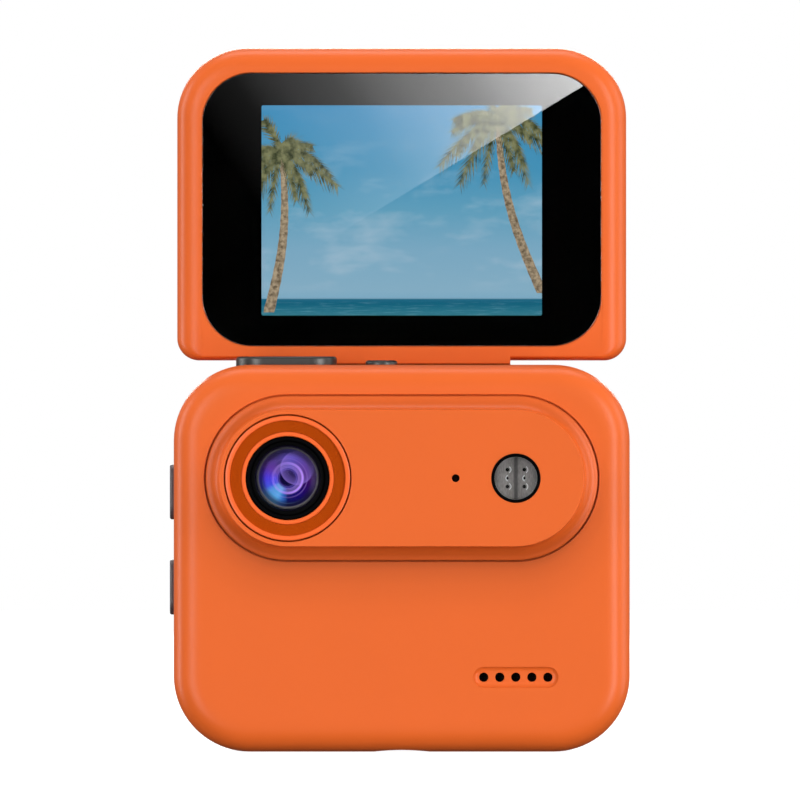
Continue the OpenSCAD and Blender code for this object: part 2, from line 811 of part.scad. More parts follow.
module screen_back_cover() {
    color([0.93, 0.42, 0.2])
        screen_plate(glass_w + 3.2, glass_h + 0.9, 7.75, screen_back - 1.05, screen_back);
}

module cover_glass() {
    color([0.03, 0.03, 0.04]) screen_plate(glass_w, glass_h, 7.25, screen_front + 0.05, screen_front + 1.15);
}

module display_panel() {
    color([0.35, 0.6, 0.75]) screen_plate(44.4, 35, 0.8, screen_front + 1.18, screen_front + 2);
}

module backlight() {
    color([0.9, 0.9, 0.9]) screen_plate(44.4, 35, 0.8, screen_front + 2.03, screen_front + 3.4);
}

module display_tray() {
    color([0.75, 0.76, 0.78]) difference() {
        screen_plate(48, 36.5, 1.5, screen_front + 3.45, screen_front + 3.85);
        for (x = [-14, 14]) facing() disc([x, glass_z], -screen_back, -screen_front, 4);
    }
}

module screen_board() {
    color([0.05, 0.3, 0.2]) {
        screen_plate(40, 24, 1, screen_front + 4.4, screen_front + 5.2);
        facing() translate([-6, glass_z - 5, -screen_front - 6.1]) cube([10, 10, 1]);
    }
}

// ---- Hinge ----

// Two steel pins, each pressed into an ear of the rear shell
module hinge_pins() {
    color([0.78, 0.78, 0.8]) for (side = [-1, 1]) {
        translate([side > 0 ? knuckle_half - 6 : -knuckle_half - 3.2, hinge_y, hinge_z]) rotate([0, 90, 0])
            cylinder(h = 9.2, r = pin_r);
    }
}

// Friction sleeves pressed into the screen's barrel, turning on the pins
module hinge_sleeves() {
    color([0.8, 0.68, 0.35]) for (side = [-1, 1]) {
        translate([side > 0 ? knuckle_half - 5.8 : -knuckle_half + 0.1, hinge_y, hinge_z]) rotate([0, 90, 0])
            difference() {
                cylinder(h = 5.7, r = 1.48);
                translate([0, 0, -past]) cylinder(h = 6.7, r = pin_r + 0.03);
            }
    }
}

// Ribbon cable from the main board up to the hinge
module hinge_flex() {
    color([0.75, 0.45, 0.15]) {
        box([-5.5, board_y + board_t, 42], [5.5, 3.2, 44.5]);
        box([-5.5, 3.0, 44], [5.5, 3.2, hinge_z - 0.9]);
        box([-5.5, 3.0, hinge_z - 1.1], [5.5, 8.3, hinge_z - 0.9]);
    }
}

front_shell();
rear_shell();
case_gasket();
case_screws();
tripod_insert();
rest_pads();
lens_plate();
lens_ring();
lens_groove_ring();
lens_barrel();
lens_retaining_ring();
front_element();
second_element();
aperture_stop();
rear_element();
lens_mount();
ir_filter();
image_sensor();
sensor_board();
led_bezel();
led_window();
led_reflector();
led_chips();
led_board();
microphone();
mic_gasket();
speaker();
speaker_mesh();
main_board();
board_screws();
main_processor();
main_shield();
memory_chip();
battery();
battery_pad();
wifi_antenna();
shutter_button();
power_button();
top_switches();
top_switch_board();
upper_side_button();
lower_side_button();
side_switches();
side_switch_board();
port_door();
door_seal();
door_hinge_pin();
usb_c_socket();
card_socket();
memory_card();
screen_frame();
screen_back_cover();
cover_glass();
display_panel();
backlight();
display_tray();
screen_board();
hinge_pins();
hinge_sleeves();
hinge_flex();
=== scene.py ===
"""Action camera with a flip-up screen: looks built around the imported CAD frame.

Shapes are worked out in millimetres in the frame's axes (+X right, -Y front, +Z up) and stored in metres.
"Along" is a distance in front of the body's middle plane, so it is minus Y.
"""
import json
import math

import bmesh
import bpy
import numpy as np
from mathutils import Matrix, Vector


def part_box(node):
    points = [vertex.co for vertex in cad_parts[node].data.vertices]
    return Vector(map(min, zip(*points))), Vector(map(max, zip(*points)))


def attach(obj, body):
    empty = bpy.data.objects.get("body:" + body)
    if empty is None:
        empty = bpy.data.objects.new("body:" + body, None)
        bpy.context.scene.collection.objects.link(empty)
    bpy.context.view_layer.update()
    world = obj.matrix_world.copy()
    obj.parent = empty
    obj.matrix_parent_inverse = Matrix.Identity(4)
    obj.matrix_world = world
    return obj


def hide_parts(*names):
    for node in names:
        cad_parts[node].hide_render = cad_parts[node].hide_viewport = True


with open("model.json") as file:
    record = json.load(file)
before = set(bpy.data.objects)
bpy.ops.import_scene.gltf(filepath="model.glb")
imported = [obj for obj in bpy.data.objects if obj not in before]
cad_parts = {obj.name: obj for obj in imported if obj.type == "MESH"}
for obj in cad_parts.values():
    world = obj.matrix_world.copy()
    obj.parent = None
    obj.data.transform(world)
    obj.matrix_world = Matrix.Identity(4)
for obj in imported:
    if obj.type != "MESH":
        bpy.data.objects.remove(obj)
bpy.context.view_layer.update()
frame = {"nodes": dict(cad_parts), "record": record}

MM = 0.001
SHARP_ANGLE = math.radians(32)
ROUND_STEPS = 20        # steps in each quarter of a rounded corner
LATHE_STEPS = 128       # steps around a turned piece


def mm_box(node):
    """Lowest and highest corner of a CAD node, in millimetres."""
    low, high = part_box(node)
    return low / MM, high / MM


def middle(node):
    low, high = mm_box(node)
    return (low + high) / 2


def seen_at(node):
    """Where a node's middle is, seen from the front."""
    spot = middle(node)
    return spot.x, spot.z


def turned(node):
    """Outer radius, front and back of a node that is round about the front axis."""
    low, high = mm_box(node)
    return (high.x - low.x) / 2, -low.y, -high.y


# ---------------------------------------------------------------- sizes from the frame

shell_low, shell_high = mm_box("front_shell")
plate_low, plate_high = mm_box("lens_plate")
screen_low, screen_high = mm_box("screen_frame")
glass_low, glass_high = mm_box("cover_glass")
cover_low, cover_high = mm_box("screen_back_cover")
pin_low, pin_high = mm_box("hinge_pins")

BODY_W = shell_high.x - shell_low.x
BODY_H = shell_high.z
FRONT = -shell_low.y                  # along of the front face
SEAM = -shell_high.y                  # along of the joint between the shells
REAR = FRONT                          # the body is as deep behind its middle plane as in front
CORNER = 11.0
WALL = 1.6
FRONT_EDGE = 4.2
REAR_EDGE = 3.0
SLIDE_GAP = 0.15                      # around a button or the door
LENS = seen_at("lens_ring")
LIGHT = seen_at("led_window")
MIC = seen_at("mic_gasket")
LENS_BORE = 8.1                       # radius of the room for the lens behind the plate
PLATE_Z = LENS[1]
PLATE_TOP = -plate_low.y
PLATE_BACK = -plate_high.y
PLATE_FOOT_R = (plate_high.z - plate_low.z) / 2
PLATE_REACH = (plate_high.x - plate_low.x) / 2 - PLATE_FOOT_R
COVE = 2.1                            # radius of the hollow curve around the plate
TOP_BUTTON_WIDE = 7.8
SIDE_BUTTON_HALF_LONG = 4
SIDE_BUTTON_R = 2
DOOR_FLOOR = 1.65                     # depth of the door's recess
HINGE = (middle("hinge_pins").y, middle("hinge_pins").z)
PIN_R = 0.9
KNUCKLE_HALF = 15.8
KNUCKLE_R = 2.6
GLASS_Z = (glass_low.z + glass_high.z) / 2
GLASS_HALF = (glass_high.x - glass_low.x) / 2
GLASS_HALF_TALL = (glass_high.z - glass_low.z) / 2
GLASS_CORNER = 7.25
PICTURE_Z = GLASS_Z - 0.13            # the lit part sits a little below the middle of the glass
SCREEN_FRONT = -screen_low.y
SCREEN_BACK = -cover_high.y
SCREEN_FOOT = cover_low.z - 1.65
SCREEN_TOP = screen_high.z
SCREEN_HALF = (screen_high.x - screen_low.x) / 2
SCREEN_TOP_R = 10.2
SCREEN_FOOT_R = 3.2
TONGUE_GAP = 0.15                     # between the body's top and the screen's hinge tongue


# ---------------------------------------------------------------- materials

class Graph:
    """A node tree with short ways to add shader nodes and join them."""

    def __init__(self, owner):
        owner.use_nodes = True
        self.owner = owner
        self.tree = owner.node_tree
        self.shader = self.tree.nodes.get("Principled BSDF")

    def feed(self, socket, value):
        """Joins a node's output to a socket, or sets the socket to a fixed value."""
        if isinstance(value, bpy.types.NodeSocket):
            self.tree.links.new(value, socket)
        else:
            socket.default_value = value

    def set(self, node, **sockets):
        for name, value in sockets.items():
            self.feed(node.inputs[name.replace("_", " ")], value)
        return node

    def add(self, kind, **sockets):
        return self.set(self.tree.nodes.new("ShaderNode" + kind), **sockets)

    def paint(self, **sockets):
        """Sets the main shader's sockets and gives back the material."""
        self.set(self.shader, **sockets)
        return self.owner

    def point(self):
        return self.add("TexCoord").outputs["Object"]

    def noise(self, point, scale, detail=3.0, rough=0.55):
        return self.add("TexNoise", Vector=point, Scale=scale, Detail=detail, Roughness=rough).outputs["Fac"]

    def spread(self, value, low, high):
        """Maps the middle half of a 0 to 1 value onto low to high."""
        return self.add("MapRange", Value=value, From_Min=0.25, From_Max=0.75, To_Min=low,
                        To_Max=high).outputs["Result"]

    def ramp(self, value, stops):
        """A colour ramp through (position, colour) stops."""
        made = self.add("ValToRGB", Fac=value)
        elements = made.color_ramp.elements
        elements[0].position, elements[0].color = stops[0]
        elements[1].position, elements[1].color = stops[-1]
        for place, colour in stops[1:-1]:
            elements.new(place).color = colour
        return made.outputs["Color"]

    def mask(self, value, stops):
        return self.ramp(value, [(place, grey(level)) for place, level in stops])

    def bump(self, height, strength, distance):
        return self.add("Bump", Height=height, Strength=strength, Distance=distance).outputs["Normal"]

    def math(self, operation, *values):
        made = self.add("Math")
        made.operation = operation
        for socket, value in zip(made.inputs, values):
            self.feed(socket, value)
        return made.outputs["Value"]

    def times(self, first, second):
        return self.math("MULTIPLY", first, second)

    def vector(self, operation, value, constant=(0, 0, 0)):
        made = self.add("VectorMath")
        made.operation = operation
        self.feed(made.inputs[0], value)
        if operation == "LENGTH":
            return made.outputs["Value"]
        made.inputs[1].default_value = constant
        return made.outputs["Vector"]

    def split(self, point):
        return self.add("SeparateXYZ", Vector=point).outputs

    def mix(self, factor, first, second):
        """Mixes two colours; each is a socket or a fixed colour."""
        made = self.add("Mix")
        made.data_type = "RGBA"
        self.feed(made.inputs["Factor"], factor)
        for name, value in (("A", first), ("B", second)):
            self.feed(next(s for s in made.inputs if s.name == name and s.type == "RGBA"), value)
        return next(s for s in made.outputs if s.type == "RGBA")

    def darker(self, colour, level):
        return self.mix(level, (0, 0, 0, 1), colour)

    def local_mm(self, centre):
        """The surface point seen from the front, in millimetres from a centre."""
        moved = self.vector("SUBTRACT", self.point(), (centre[0] * MM, 0, centre[1] * MM))
        return self.vector("MULTIPLY", moved, (1 / MM, 0, 1 / MM))

    def distance(self, point, x=0.0, z=0.0):
        return self.vector("LENGTH", self.vector("SUBTRACT", point, (x, 0, z)))

    def turn_of(self, point):
        """How far round the axis the point is, 0 to 1 counter-clockwise from +X."""
        parts = self.split(point)
        angle = self.math("ARCTAN2", parts["Z"], parts["X"])
        return self.math("FRACT", self.math("DIVIDE", angle, 2 * math.pi))


def new_finish(name):
    return Graph(bpy.data.materials.new(name))


def linear(red, green, blue):
    """A colour given as it shows on screen, 0 to 255, turned into linear light."""
    def one(value):
        value = value / 255
        return value / 12.92 if value <= 0.04045 else ((value + 0.055) / 1.055) ** 2.4
    return (one(red), one(green), one(blue), 1.0)


def shade(colour, factor):
    return tuple(channel * factor for channel in colour[:3]) + (1.0,)


def grey(level):
    return (level, level, level, 1.0)


def moulded(name, colour, rough, vary=0.04, grain=0.11, depth=0.004, specular=0.5, darken=None):
    """Moulded or coated surface: slow colour and gloss variation, and a fine grain sized in millimetres.
    darken may change the colour by place."""
    g = new_finish(name)
    point = g.point()
    tint = g.ramp(g.noise(point, 60, 2), [(0.3, shade(colour, 1 - vary)), (0.7, shade(colour, 1 + vary))])
    return g.paint(
        Base_Color=darken(g, tint) if darken else tint,
        Roughness=g.spread(g.noise(point, 900), rough * 0.93, rough * 1.07),
        Normal=g.bump(g.noise(point, 1 / (grain * MM), 2), 0.35, depth * MM),
        Specular_IOR_Level=specular)


def brushed(name, colour, rough, stretch=(1, 1, 30)):
    """Metal with fine lines along one axis."""
    g = new_finish(name)
    lines = g.noise(g.add("Mapping", Vector=g.point(), Scale=stretch).outputs["Vector"], 1500, 4)
    return g.paint(
        Base_Color=g.ramp(lines, [(0.3, shade(colour, 0.9)), (0.7, shade(colour, 1.08))]),
        Roughness=g.spread(lines, rough * 0.85, rough * 1.15),
        Normal=g.bump(lines, 0.15, 0.004 * MM),
        Metallic=1.0)


def clear_glass(name, tint=(1, 1, 1, 1), reflected=(1, 1, 1, 1), smear=0.012):
    """Glass whose gloss wanders by a little smear; reflected tints what it mirrors."""
    g = new_finish(name)
    return g.paint(Base_Color=tint, Transmission_Weight=1.0, IOR=1.5, Specular_Tint=reflected,
                   Roughness=g.spread(g.noise(g.point(), 120, 2), 0, smear))


def glow(g, colour):
    """Shows a colour by its own light, over a near-black surface."""
    return g.paint(Base_Color=(0.005, 0.005, 0.006, 1), Roughness=0.5, Specular_IOR_Level=0.0,
                   Emission_Color=colour, Emission_Strength=1.0)


def picture_tint(name, dark, light, scale):
    g = new_finish(name)
    return glow(g, g.ramp(g.noise(g.local_mm((0, PICTURE_Z)), scale, 4), [(0.35, dark), (0.62, light)]))


def glass_ink(name):
    g = new_finish(name)
    fleck = g.noise(g.point(), 4000, 2)
    return g.paint(Base_Color=g.ramp(fleck, [(0.3, grey(0.0006)), (0.7, grey(0.0014))]), Roughness=0.35,
                   Specular_IOR_Level=0.0)


def painted_port_shade(g, colour):
    """Painted shade: a black disc where the sound port opens in the middle of the microphone's can."""
    out = g.math("DIVIDE", g.distance(g.local_mm(MIC)), 2.0)
    level = g.mask(out, [(0.0, 0.35), (0.1, 0.35), (0.15, 1.0), (0.5, 0.9)])
    return g.mix(level, colour, (0.001, 0.001, 0.001, 1))


def plate_distance(g, lowered=0.0):
    """Distance in millimetres from the line between the plate's end centres, and the height over it."""
    parts = g.split(g.local_mm((0, PLATE_Z - lowered)))
    x, z = parts["X"], parts["Z"]
    past_end = g.math("MAXIMUM", g.math("SUBTRACT", g.math("ABSOLUTE", x), PLATE_REACH), 0.0)
    return g.math("SQRT", g.math("ADD", g.times(past_end, past_end), g.times(z, z))), z


def shade_around_plate(g, colour):
    """Soft contact shade below and beside the raised plate, which fades out over a few millimetres."""
    lowered, reach = 1.6, 9.0
    away, height = plate_distance(g, lowered)
    out = g.math("DIVIDE", g.math("SUBTRACT", away, PLATE_FOOT_R - lowered), reach)
    level = g.mask(out, [(0.0, 0.55), (0.1, 0.69), (0.18, 0.79), (0.3, 0.85), (0.4, 0.9), (0.58, 0.94),
                         (0.75, 0.98), (1.0, 1.0)])
    weight = g.mask(g.math("MULTIPLY_ADD", height, -1 / 20, 0.4), [(0.0, 0.0), (0.35, 0.75), (0.6, 1.0)])
    return g.mix(weight, colour, g.darker(colour, level))


def shade_on_cove(g, colour):
    """The hollow curve under the plate's top is in shade along its lower side, a little along its upper."""
    away, height = plate_distance(g)
    out = g.math("DIVIDE", g.math("SUBTRACT", away, PLATE_FOOT_R - 2.0), 2.0)
    level = g.mask(out, [(0.0, 1.0), (0.1, 1.0), (0.35, 0.77), (0.5, 0.68), (0.67, 0.6), (0.82, 0.64),
                         (1.0, 0.7)])
    upper_level = g.mask(out, [(0.0, 1.0), (0.15, 0.9), (0.5, 0.82), (1.0, 0.92)])
    below, above = [g.mask(g.times(height, sign / 12), [(0.1, 0.0), (0.75, 1.0)]) for sign in (-1, 1)]
    shaded = g.mix(below, colour, g.mix(level, (0.1, 0.002, 0, 1), colour))
    return g.mix(above, shaded, g.darker(colour, upper_level))


def reflector_shade(g, colour):
    """The light's reflector is darker down its middle and towards its rim."""
    point = g.local_mm(LIGHT)
    across = g.math("DIVIDE", g.math("ABSOLUTE", g.split(point)["X"]), 3.0)
    band = g.mask(across, [(0.0, 0.2), (0.07, 0.3), (0.13, 0.75), (0.5, 1.0), (0.8, 0.8), (1.0, 0.5)])
    streak = g.noise(g.vector("MULTIPLY", point, (2.5, 1.0, 0.7)), 2.2, 4, 0.6)
    return g.darker(colour, g.times(band, g.mask(streak, [(0.35, 0.6), (0.65, 1.0)])))


LENS_SPREAD = 1.16      # how much larger the inner lens looks through the front lens


def coated_lens(name):
    """Painted, glowing reflections on the inner lens: coloured sectors, bright ring, dark pupil and pale disc.
    """
    g = new_finish(name)
    point = g.vector("MULTIPLY", g.local_mm(LENS), (LENS_SPREAD, 0, LENS_SPREAD))
    radius = g.distance(point)
    out = g.math("DIVIDE", radius, 5.0)
    turn = g.turn_of(point)
    sectors = g.ramp(turn, [
        (0.0, linear(66, 14, 92)), (0.1, linear(96, 62, 150)), (0.22, linear(84, 74, 168)),
        (0.33, linear(74, 58, 120)), (0.42, linear(92, 44, 150)), (0.5, linear(70, 52, 214)),
        (0.56, linear(52, 74, 214)), (0.6, linear(84, 160, 214)), (0.67, linear(96, 178, 224)),
        (0.71, linear(52, 110, 190)), (0.75, linear(16, 22, 92)), (0.84, linear(20, 4, 104)),
        (0.93, linear(40, 4, 92)), (1.0, linear(66, 14, 92))])
    centre_tint = g.ramp(out, [
        (0.0, linear(16, 14, 62)), (0.2, linear(14, 10, 52)), (0.3, linear(64, 40, 150)),
        (1.0, linear(64, 40, 150))])
    colour = g.mix(g.mask(out, [(0.26, 0.0), (0.33, 1.0), (1.0, 1.0)]), centre_tint, sectors)
    # fine turned rings near the pupil
    fine = g.math("SINE", g.times(radius, 26.0))
    fine_mask = g.mask(out, [(0.2, 0.0), (0.3, 0.22), (0.42, 0.22), (0.5, 0.0)])
    colour = g.mix(g.times(fine, fine_mask), colour, linear(196, 200, 255))
    # painted highlight: a bright ring around the pupil, strongest on its right
    side = g.mask(turn, [
        (0.0, 1.0), (0.12, 0.7), (0.3, 0.3), (0.5, 0.22), (0.65, 0.4), (0.78, 0.75), (0.9, 1.0), (1.0, 1.0)])
    ring = g.mask(out, [
        (0.29, 0.0), (0.32, 0.4), (0.35, 0.15), (0.39, 0.3), (0.42, 1.0), (0.45, 0.9), (0.48, 0.0), (0.54, 0.0),
        (0.56, 0.3), (0.58, 0.0)])
    colour = g.mix(g.times(ring, side), colour, linear(202, 158, 255))
    # painted reflection: a pale disc of reflected light towards the upper right
    disc_out = g.math("DIVIDE", g.distance(point, 1.32, 1.42), 3.0)
    disc = g.mask(disc_out, [(0.0, 0.02), (0.4, 0.08), (0.7, 0.3), (0.79, 0.48), (0.81, 0.0)])
    colour = g.mix(disc, colour, linear(164, 134, 236))
    # thin light arcs low on the left
    arc_side = g.mask(turn, [(0.5, 0.0), (0.56, 0.8), (0.7, 0.9), (0.8, 0.25), (0.88, 0.0)])
    arc = g.mask(out, [(0.7, 0.0), (0.725, 0.8), (0.75, 0.0)])
    colour = g.mix(g.times(arc, arc_side), colour, linear(120, 160, 226))
    # dark outer zone, then a grey ground edge that is lighter below
    colour = g.mix(g.mask(out, [(0.62, 0.0), (0.74, 0.8), (1.0, 0.9)]), colour, linear(20, 20, 30))
    below = g.math("MULTIPLY_ADD", g.split(point)["Z"], -0.12, 0.5)
    edge_tint = g.ramp(below, [(0.0, linear(62, 60, 60)), (1.0, linear(128, 124, 118))])
    colour = g.mix(g.mask(out, [(0.8, 0.0), (0.84, 0.9), (1.0, 0.9)]), colour, edge_tint)
    # the painted pattern glows by emission, though the lens is no lamp
    return g.paint(Base_Color=g.vector("MULTIPLY", colour, (0.12, 0.12, 0.12)), Emission_Color=colour,
                   Emission_Strength=0.92, Roughness=0.2, Specular_IOR_Level=0.02)


def beach_picture(name):
    """The display's picture: sky with thin cloud over a sea, glowing evenly."""
    g = new_finish(name)
    point = g.local_mm((0, PICTURE_Z))
    height = g.math("MULTIPLY_ADD", g.split(point)["Z"], 1 / 30.6, 0.5)
    sky = g.ramp(height, [
        (0.0, linear(52, 124, 140)), (0.03, linear(36, 112, 134)), (0.055, linear(12, 97, 124)),
        (0.079, linear(30, 103, 131)), (0.083, linear(128, 174, 199)), (0.12, linear(135, 177, 200)),
        (0.31, linear(125, 172, 198)), (0.5, linear(97, 161, 191)), (0.69, linear(70, 148, 186)),
        (1.0, linear(60, 142, 188))])
    # thin clouds: stretched noise that fades out towards the top and below the horizon
    cloud = g.noise(g.vector("MULTIPLY", point, (0.5, 1.0, 1.5)), 0.16, 6, 0.6)
    cloud = g.times(g.mask(cloud, [(0.5, 0.0), (0.75, 0.42)]),
                    g.mask(height, [(0.1, 0.0), (0.2, 1.0), (0.6, 0.7), (0.95, 0.15)]))
    colour = g.mix(cloud, sky, linear(206, 220, 228))
    # ripples of light on the water
    ripple = g.noise(g.vector("MULTIPLY", point, (0.35, 1.0, 6.0)), 0.9, 4)
    ripple = g.times(g.mask(ripple, [(0.52, 0.0), (0.7, 0.5)]),
                     g.mask(height, [(0.0, 0.8), (0.06, 0.5), (0.078, 0.0)]))
    return glow(g, g.mix(ripple, colour, linear(120, 176, 190)))


ORANGE = {"colour": linear(222, 98.5, 37.5), "rough": 0.36, "vary": 0.012, "specular": 0.25}

# Each look's maker and its settings; a look is named after the material slot it fills, or after its piece
LOOKS = {
    "body_orange": (moulded, ORANGE),
    "front_orange": (moulded, {**ORANGE, "darken": shade_around_plate}),
    "plate_orange": (moulded, {**ORANGE, "darken": shade_on_cove}),
    "trim_orange": (moulded, {"colour": linear(240, 102, 42), "rough": 0.3, "vary": 0.01, "specular": 0.3}),
    "groove_brown": (moulded, {"colour": linear(176, 69, 4), "rough": 0.45, "vary": 0.03, "specular": 0.04}),
    "black_plastic": (moulded, {"colour": linear(12, 12, 13), "rough": 0.42}),
    "lens_black": (moulded, {"colour": linear(2, 2, 3), "rough": 0.5, "vary": 0.1, "specular": 0.03}),
    "lens_edge": (moulded, {"colour": linear(104, 104, 98), "rough": 0.5, "vary": 0.12, "specular": 0.2}),
    "side_button_grey": (moulded, {"colour": linear(78, 69, 73), "rough": 0.38}),
    "button_grey": (brushed, {"colour": linear(80, 79, 77), "rough": 0.4, "stretch": (30, 1, 1)}),
    "soft_rubber": (moulded, {"colour": linear(30, 30, 32), "rough": 0.7, "grain": 0.2, "depth": 0.01,
                              "specular": 0.3}),
    "circuit_board": (moulded, {"colour": linear(20, 82, 54), "rough": 0.35, "vary": 0.2, "grain": 0.5}),
    "grey_reflector": (brushed, {"colour": linear(150, 150, 153), "rough": 0.32}),
    "reflector_grey": (moulded, {"colour": linear(154, 149, 147), "rough": 0.4, "vary": 0.3,
                                 "darken": reflector_shade}),
    # near-white: painted highlights on the reflector's ribs and painted glints in its cups
    "bright_rib": (moulded, {"colour": linear(226, 228, 230), "rough": 0.25}),
    "led_phosphor": (moulded, {"colour": linear(236, 220, 140), "rough": 0.4}),
    "microphone_can": (moulded, {"colour": linear(30, 30, 31), "rough": 0.5, "darken": painted_port_shade}),
    "dark_mesh": (moulded, {"colour": linear(7, 8, 8), "rough": 0.6, "vary": 0.2, "specular": 0.05}),
    "screw_steel": (brushed, {"colour": linear(176, 178, 182), "rough": 0.28}),
    "stamped_steel": (brushed, {"colour": linear(186, 188, 192), "rough": 0.34}),
    "brass": (brushed, {"colour": linear(201, 164, 92), "rough": 0.3}),
    "cell_foil": (brushed, {"colour": linear(190, 194, 200), "rough": 0.4}),
    "copper_flex": (moulded, {"colour": linear(190, 122, 44), "rough": 0.35, "vary": 0.1}),
    "lens_glass": (clear_glass, {"tint": linear(240, 238, 255), "reflected": (0.07, 0.05, 0.16, 1)}),
    "coated_lens": (coated_lens, {}),
    "clear_window": (clear_glass, {}),
    "light_guide": (moulded, {"colour": linear(235, 236, 238), "rough": 0.4}),
    "cover_glass": (clear_glass, {"smear": 0.002}),
    "glass_ink": (glass_ink, {}),
    "display": (moulded, {"colour": linear(14, 16, 20), "rough": 0.3}),
    "beach_picture": (beach_picture, {}),
    "picture_trunk": (picture_tint, {"dark": linear(98, 84, 66), "light": linear(176, 158, 130),
                                     "scale": 1.6}),
    "picture_leaf": (picture_tint, {"dark": linear(46, 54, 30), "light": linear(128, 130, 92),
                                    "scale": 0.9}),
}
finishes = {}


def finish_of(name):
    """The material of a look, made when it is first wanted."""
    if name not in finishes:
        maker, settings = LOOKS[name]
        finishes[name] = maker(name, **settings)
    return finishes[name]


# ---------------------------------------------------------------- mesh making

def add_object(name, data):
    made = bpy.data.objects.new(name, data)
    bpy.context.scene.collection.objects.link(made)
    return made


def mesh_from(name, verts, faces, weld=True):
    """A mesh object from points in millimetres, its normals turned outwards."""
    mesh = bpy.data.meshes.new(name)
    mesh.from_pydata([tuple(c * MM for c in v) for v in verts], [], faces)
    work = bmesh.new()
    work.from_mesh(mesh)
    if weld:
        bmesh.ops.remove_doubles(work, verts=work.verts, dist=1e-7)
    bmesh.ops.recalc_face_normals(work, faces=work.faces)
    work.to_mesh(mesh)
    work.free()
    return add_object(name, mesh)


def join_pieces(name, pieces):
    """One object from several separate meshes."""
    work = bmesh.new()
    for piece in pieces:
        work.from_mesh(piece.data)
        bpy.data.objects.remove(piece)
    mesh = bpy.data.meshes.new(name)
    work.to_mesh(mesh)
    work.free()
    return add_object(name, mesh)


def combine(piece, others, operation):
    """Cuts the others out of a piece, or joins them to it, and deletes them."""
    for other in others:
        step = piece.modifiers.new("combine", "BOOLEAN")
        step.operation = operation
        step.solver = "EXACT"
        step.object = other
        graph = bpy.context.evaluated_depsgraph_get()
        piece.data = bpy.data.meshes.new_from_object(piece.evaluated_get(graph))
        piece.modifiers.clear()
        bpy.data.objects.remove(other)


def smooth(piece):
    """Smooth shading with sharp edges kept, and flat faces that stay flat beside rounded ones."""
    work = bmesh.new()
    work.from_mesh(piece.data)
    for face in work.faces:
        face.smooth = True
    for edge in work.edges:
        edge.smooth = len(edge.link_faces) == 2 and edge.calc_face_angle(math.pi) < SHARP_ANGLE
    work.to_mesh(piece.data)
    work.free()
    weigh = piece.modifiers.new("weigh", "WEIGHTED_NORMAL")
    weigh.keep_sharp = True
    weigh.weight = 80


def dress(piece, body, slot, *stands_for, look=None):
    """Finishes a piece: shading, the material of its look or slot, its body, and hiding the CAD nodes it stands
    for.
    """
    smooth(piece)
    piece.data.materials.clear()
    piece.data.materials.append(finish_of(look or slot))
    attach(piece, body)
    if stands_for:
        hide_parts(*stands_for)


def quarter(steps):
    """Angles from 0 to a quarter turn."""
    return [math.pi / 2 * i / steps for i in range(steps + 1)]


def rounded_outline(half_w, low, high, r_top, r_low=None, centre_x=0.0):
    """Points around a rectangle with round corners, counter-clockwise from its lower right corner."""
    r_low = r_top if r_low is None else r_low
    corners = [
        (half_w - r_low, low + r_low, r_low, -90), (half_w - r_top, high - r_top, r_top, 0),
        (-half_w + r_top, high - r_top, r_top, 90), (-half_w + r_low, low + r_low, r_low, 180),
    ]
    points = []
    for x, z, r, start in corners:
        for i in range(ROUND_STEPS + 1):
            a = math.radians(start + 90 * i / ROUND_STEPS)
            points.append((centre_x + x + r * math.cos(a), z + r * math.sin(a)))
    return np.array(points)


def slot_outline(centre, length, wide):
    """Points around a slot shape with round ends, along the first axis."""
    x, z = centre
    return rounded_outline(length / 2, z - wide / 2, z + wide / 2, wide / 2, centre_x=x)


def rim(outer, inner, start, end, steps=12, power=2.0):
    """Sections over a rounded edge, from the side wall's outline at start to the face's outline at end."""
    made = []
    for a in quarter(steps):
        share = 1 - math.cos(a) ** (2 / power)
        rise = math.sin(a) ** (2 / power)
        made.append((outer + (inner - outer) * share, start + (end - start) * rise))
    return made


def facing(u, v, along):
    """Outline across and up, drawn towards the front."""
    return (u, -along, v)


def rearward(u, v, along):
    """Outline across and up, drawn towards the rear."""
    return (u, along, v)


def upright(u, v, along):
    """Outline across and back, drawn upwards."""
    return (u, v, along)


def leftward(u, v, along):
    """Outline back and up, drawn towards -X."""
    return (-along, u, v)


def rightward(u, v, along):
    """Outline back and up, drawn towards +X."""
    return (along, u, v)


def bands(rows, count, closed=False):
    """Faces that join rows of points into a skin: capped at both ends, or closed into a ring."""
    faces = []
    for row in range(rows if closed else rows - 1):
        here, there = row * count, (row + 1) % rows * count
        for i in range(count):
            j = (i + 1) % count
            faces.append((here + i, here + j, there + j, there + i))
    if not closed:
        faces.append(tuple(range(count)))
        faces.append(tuple((rows - 1) * count + i for i in range(count)))
    return faces


def loft(name, sections, place=facing, closed=False):
    """A skin through sections, each an outline and its distance along the axis."""
    verts = [place(u, v, along) for outline, along in sections for u, v in outline]
    return mesh_from(name, verts, bands(len(sections), len(sections[0][0]), closed))


def skin(name, rings):
    """A skin through rings of (x, z, along) points that may stand at any angle."""
    verts = [facing(*point) for ring in rings for point in ring]
    return mesh_from(name, verts, bands(len(rings), len(rings[0])))


def prism(outline, low, high, place=facing, name="cutter"):
    outline = np.array(outline)
    return loft(name, [(outline, low), (outline, high)], place)


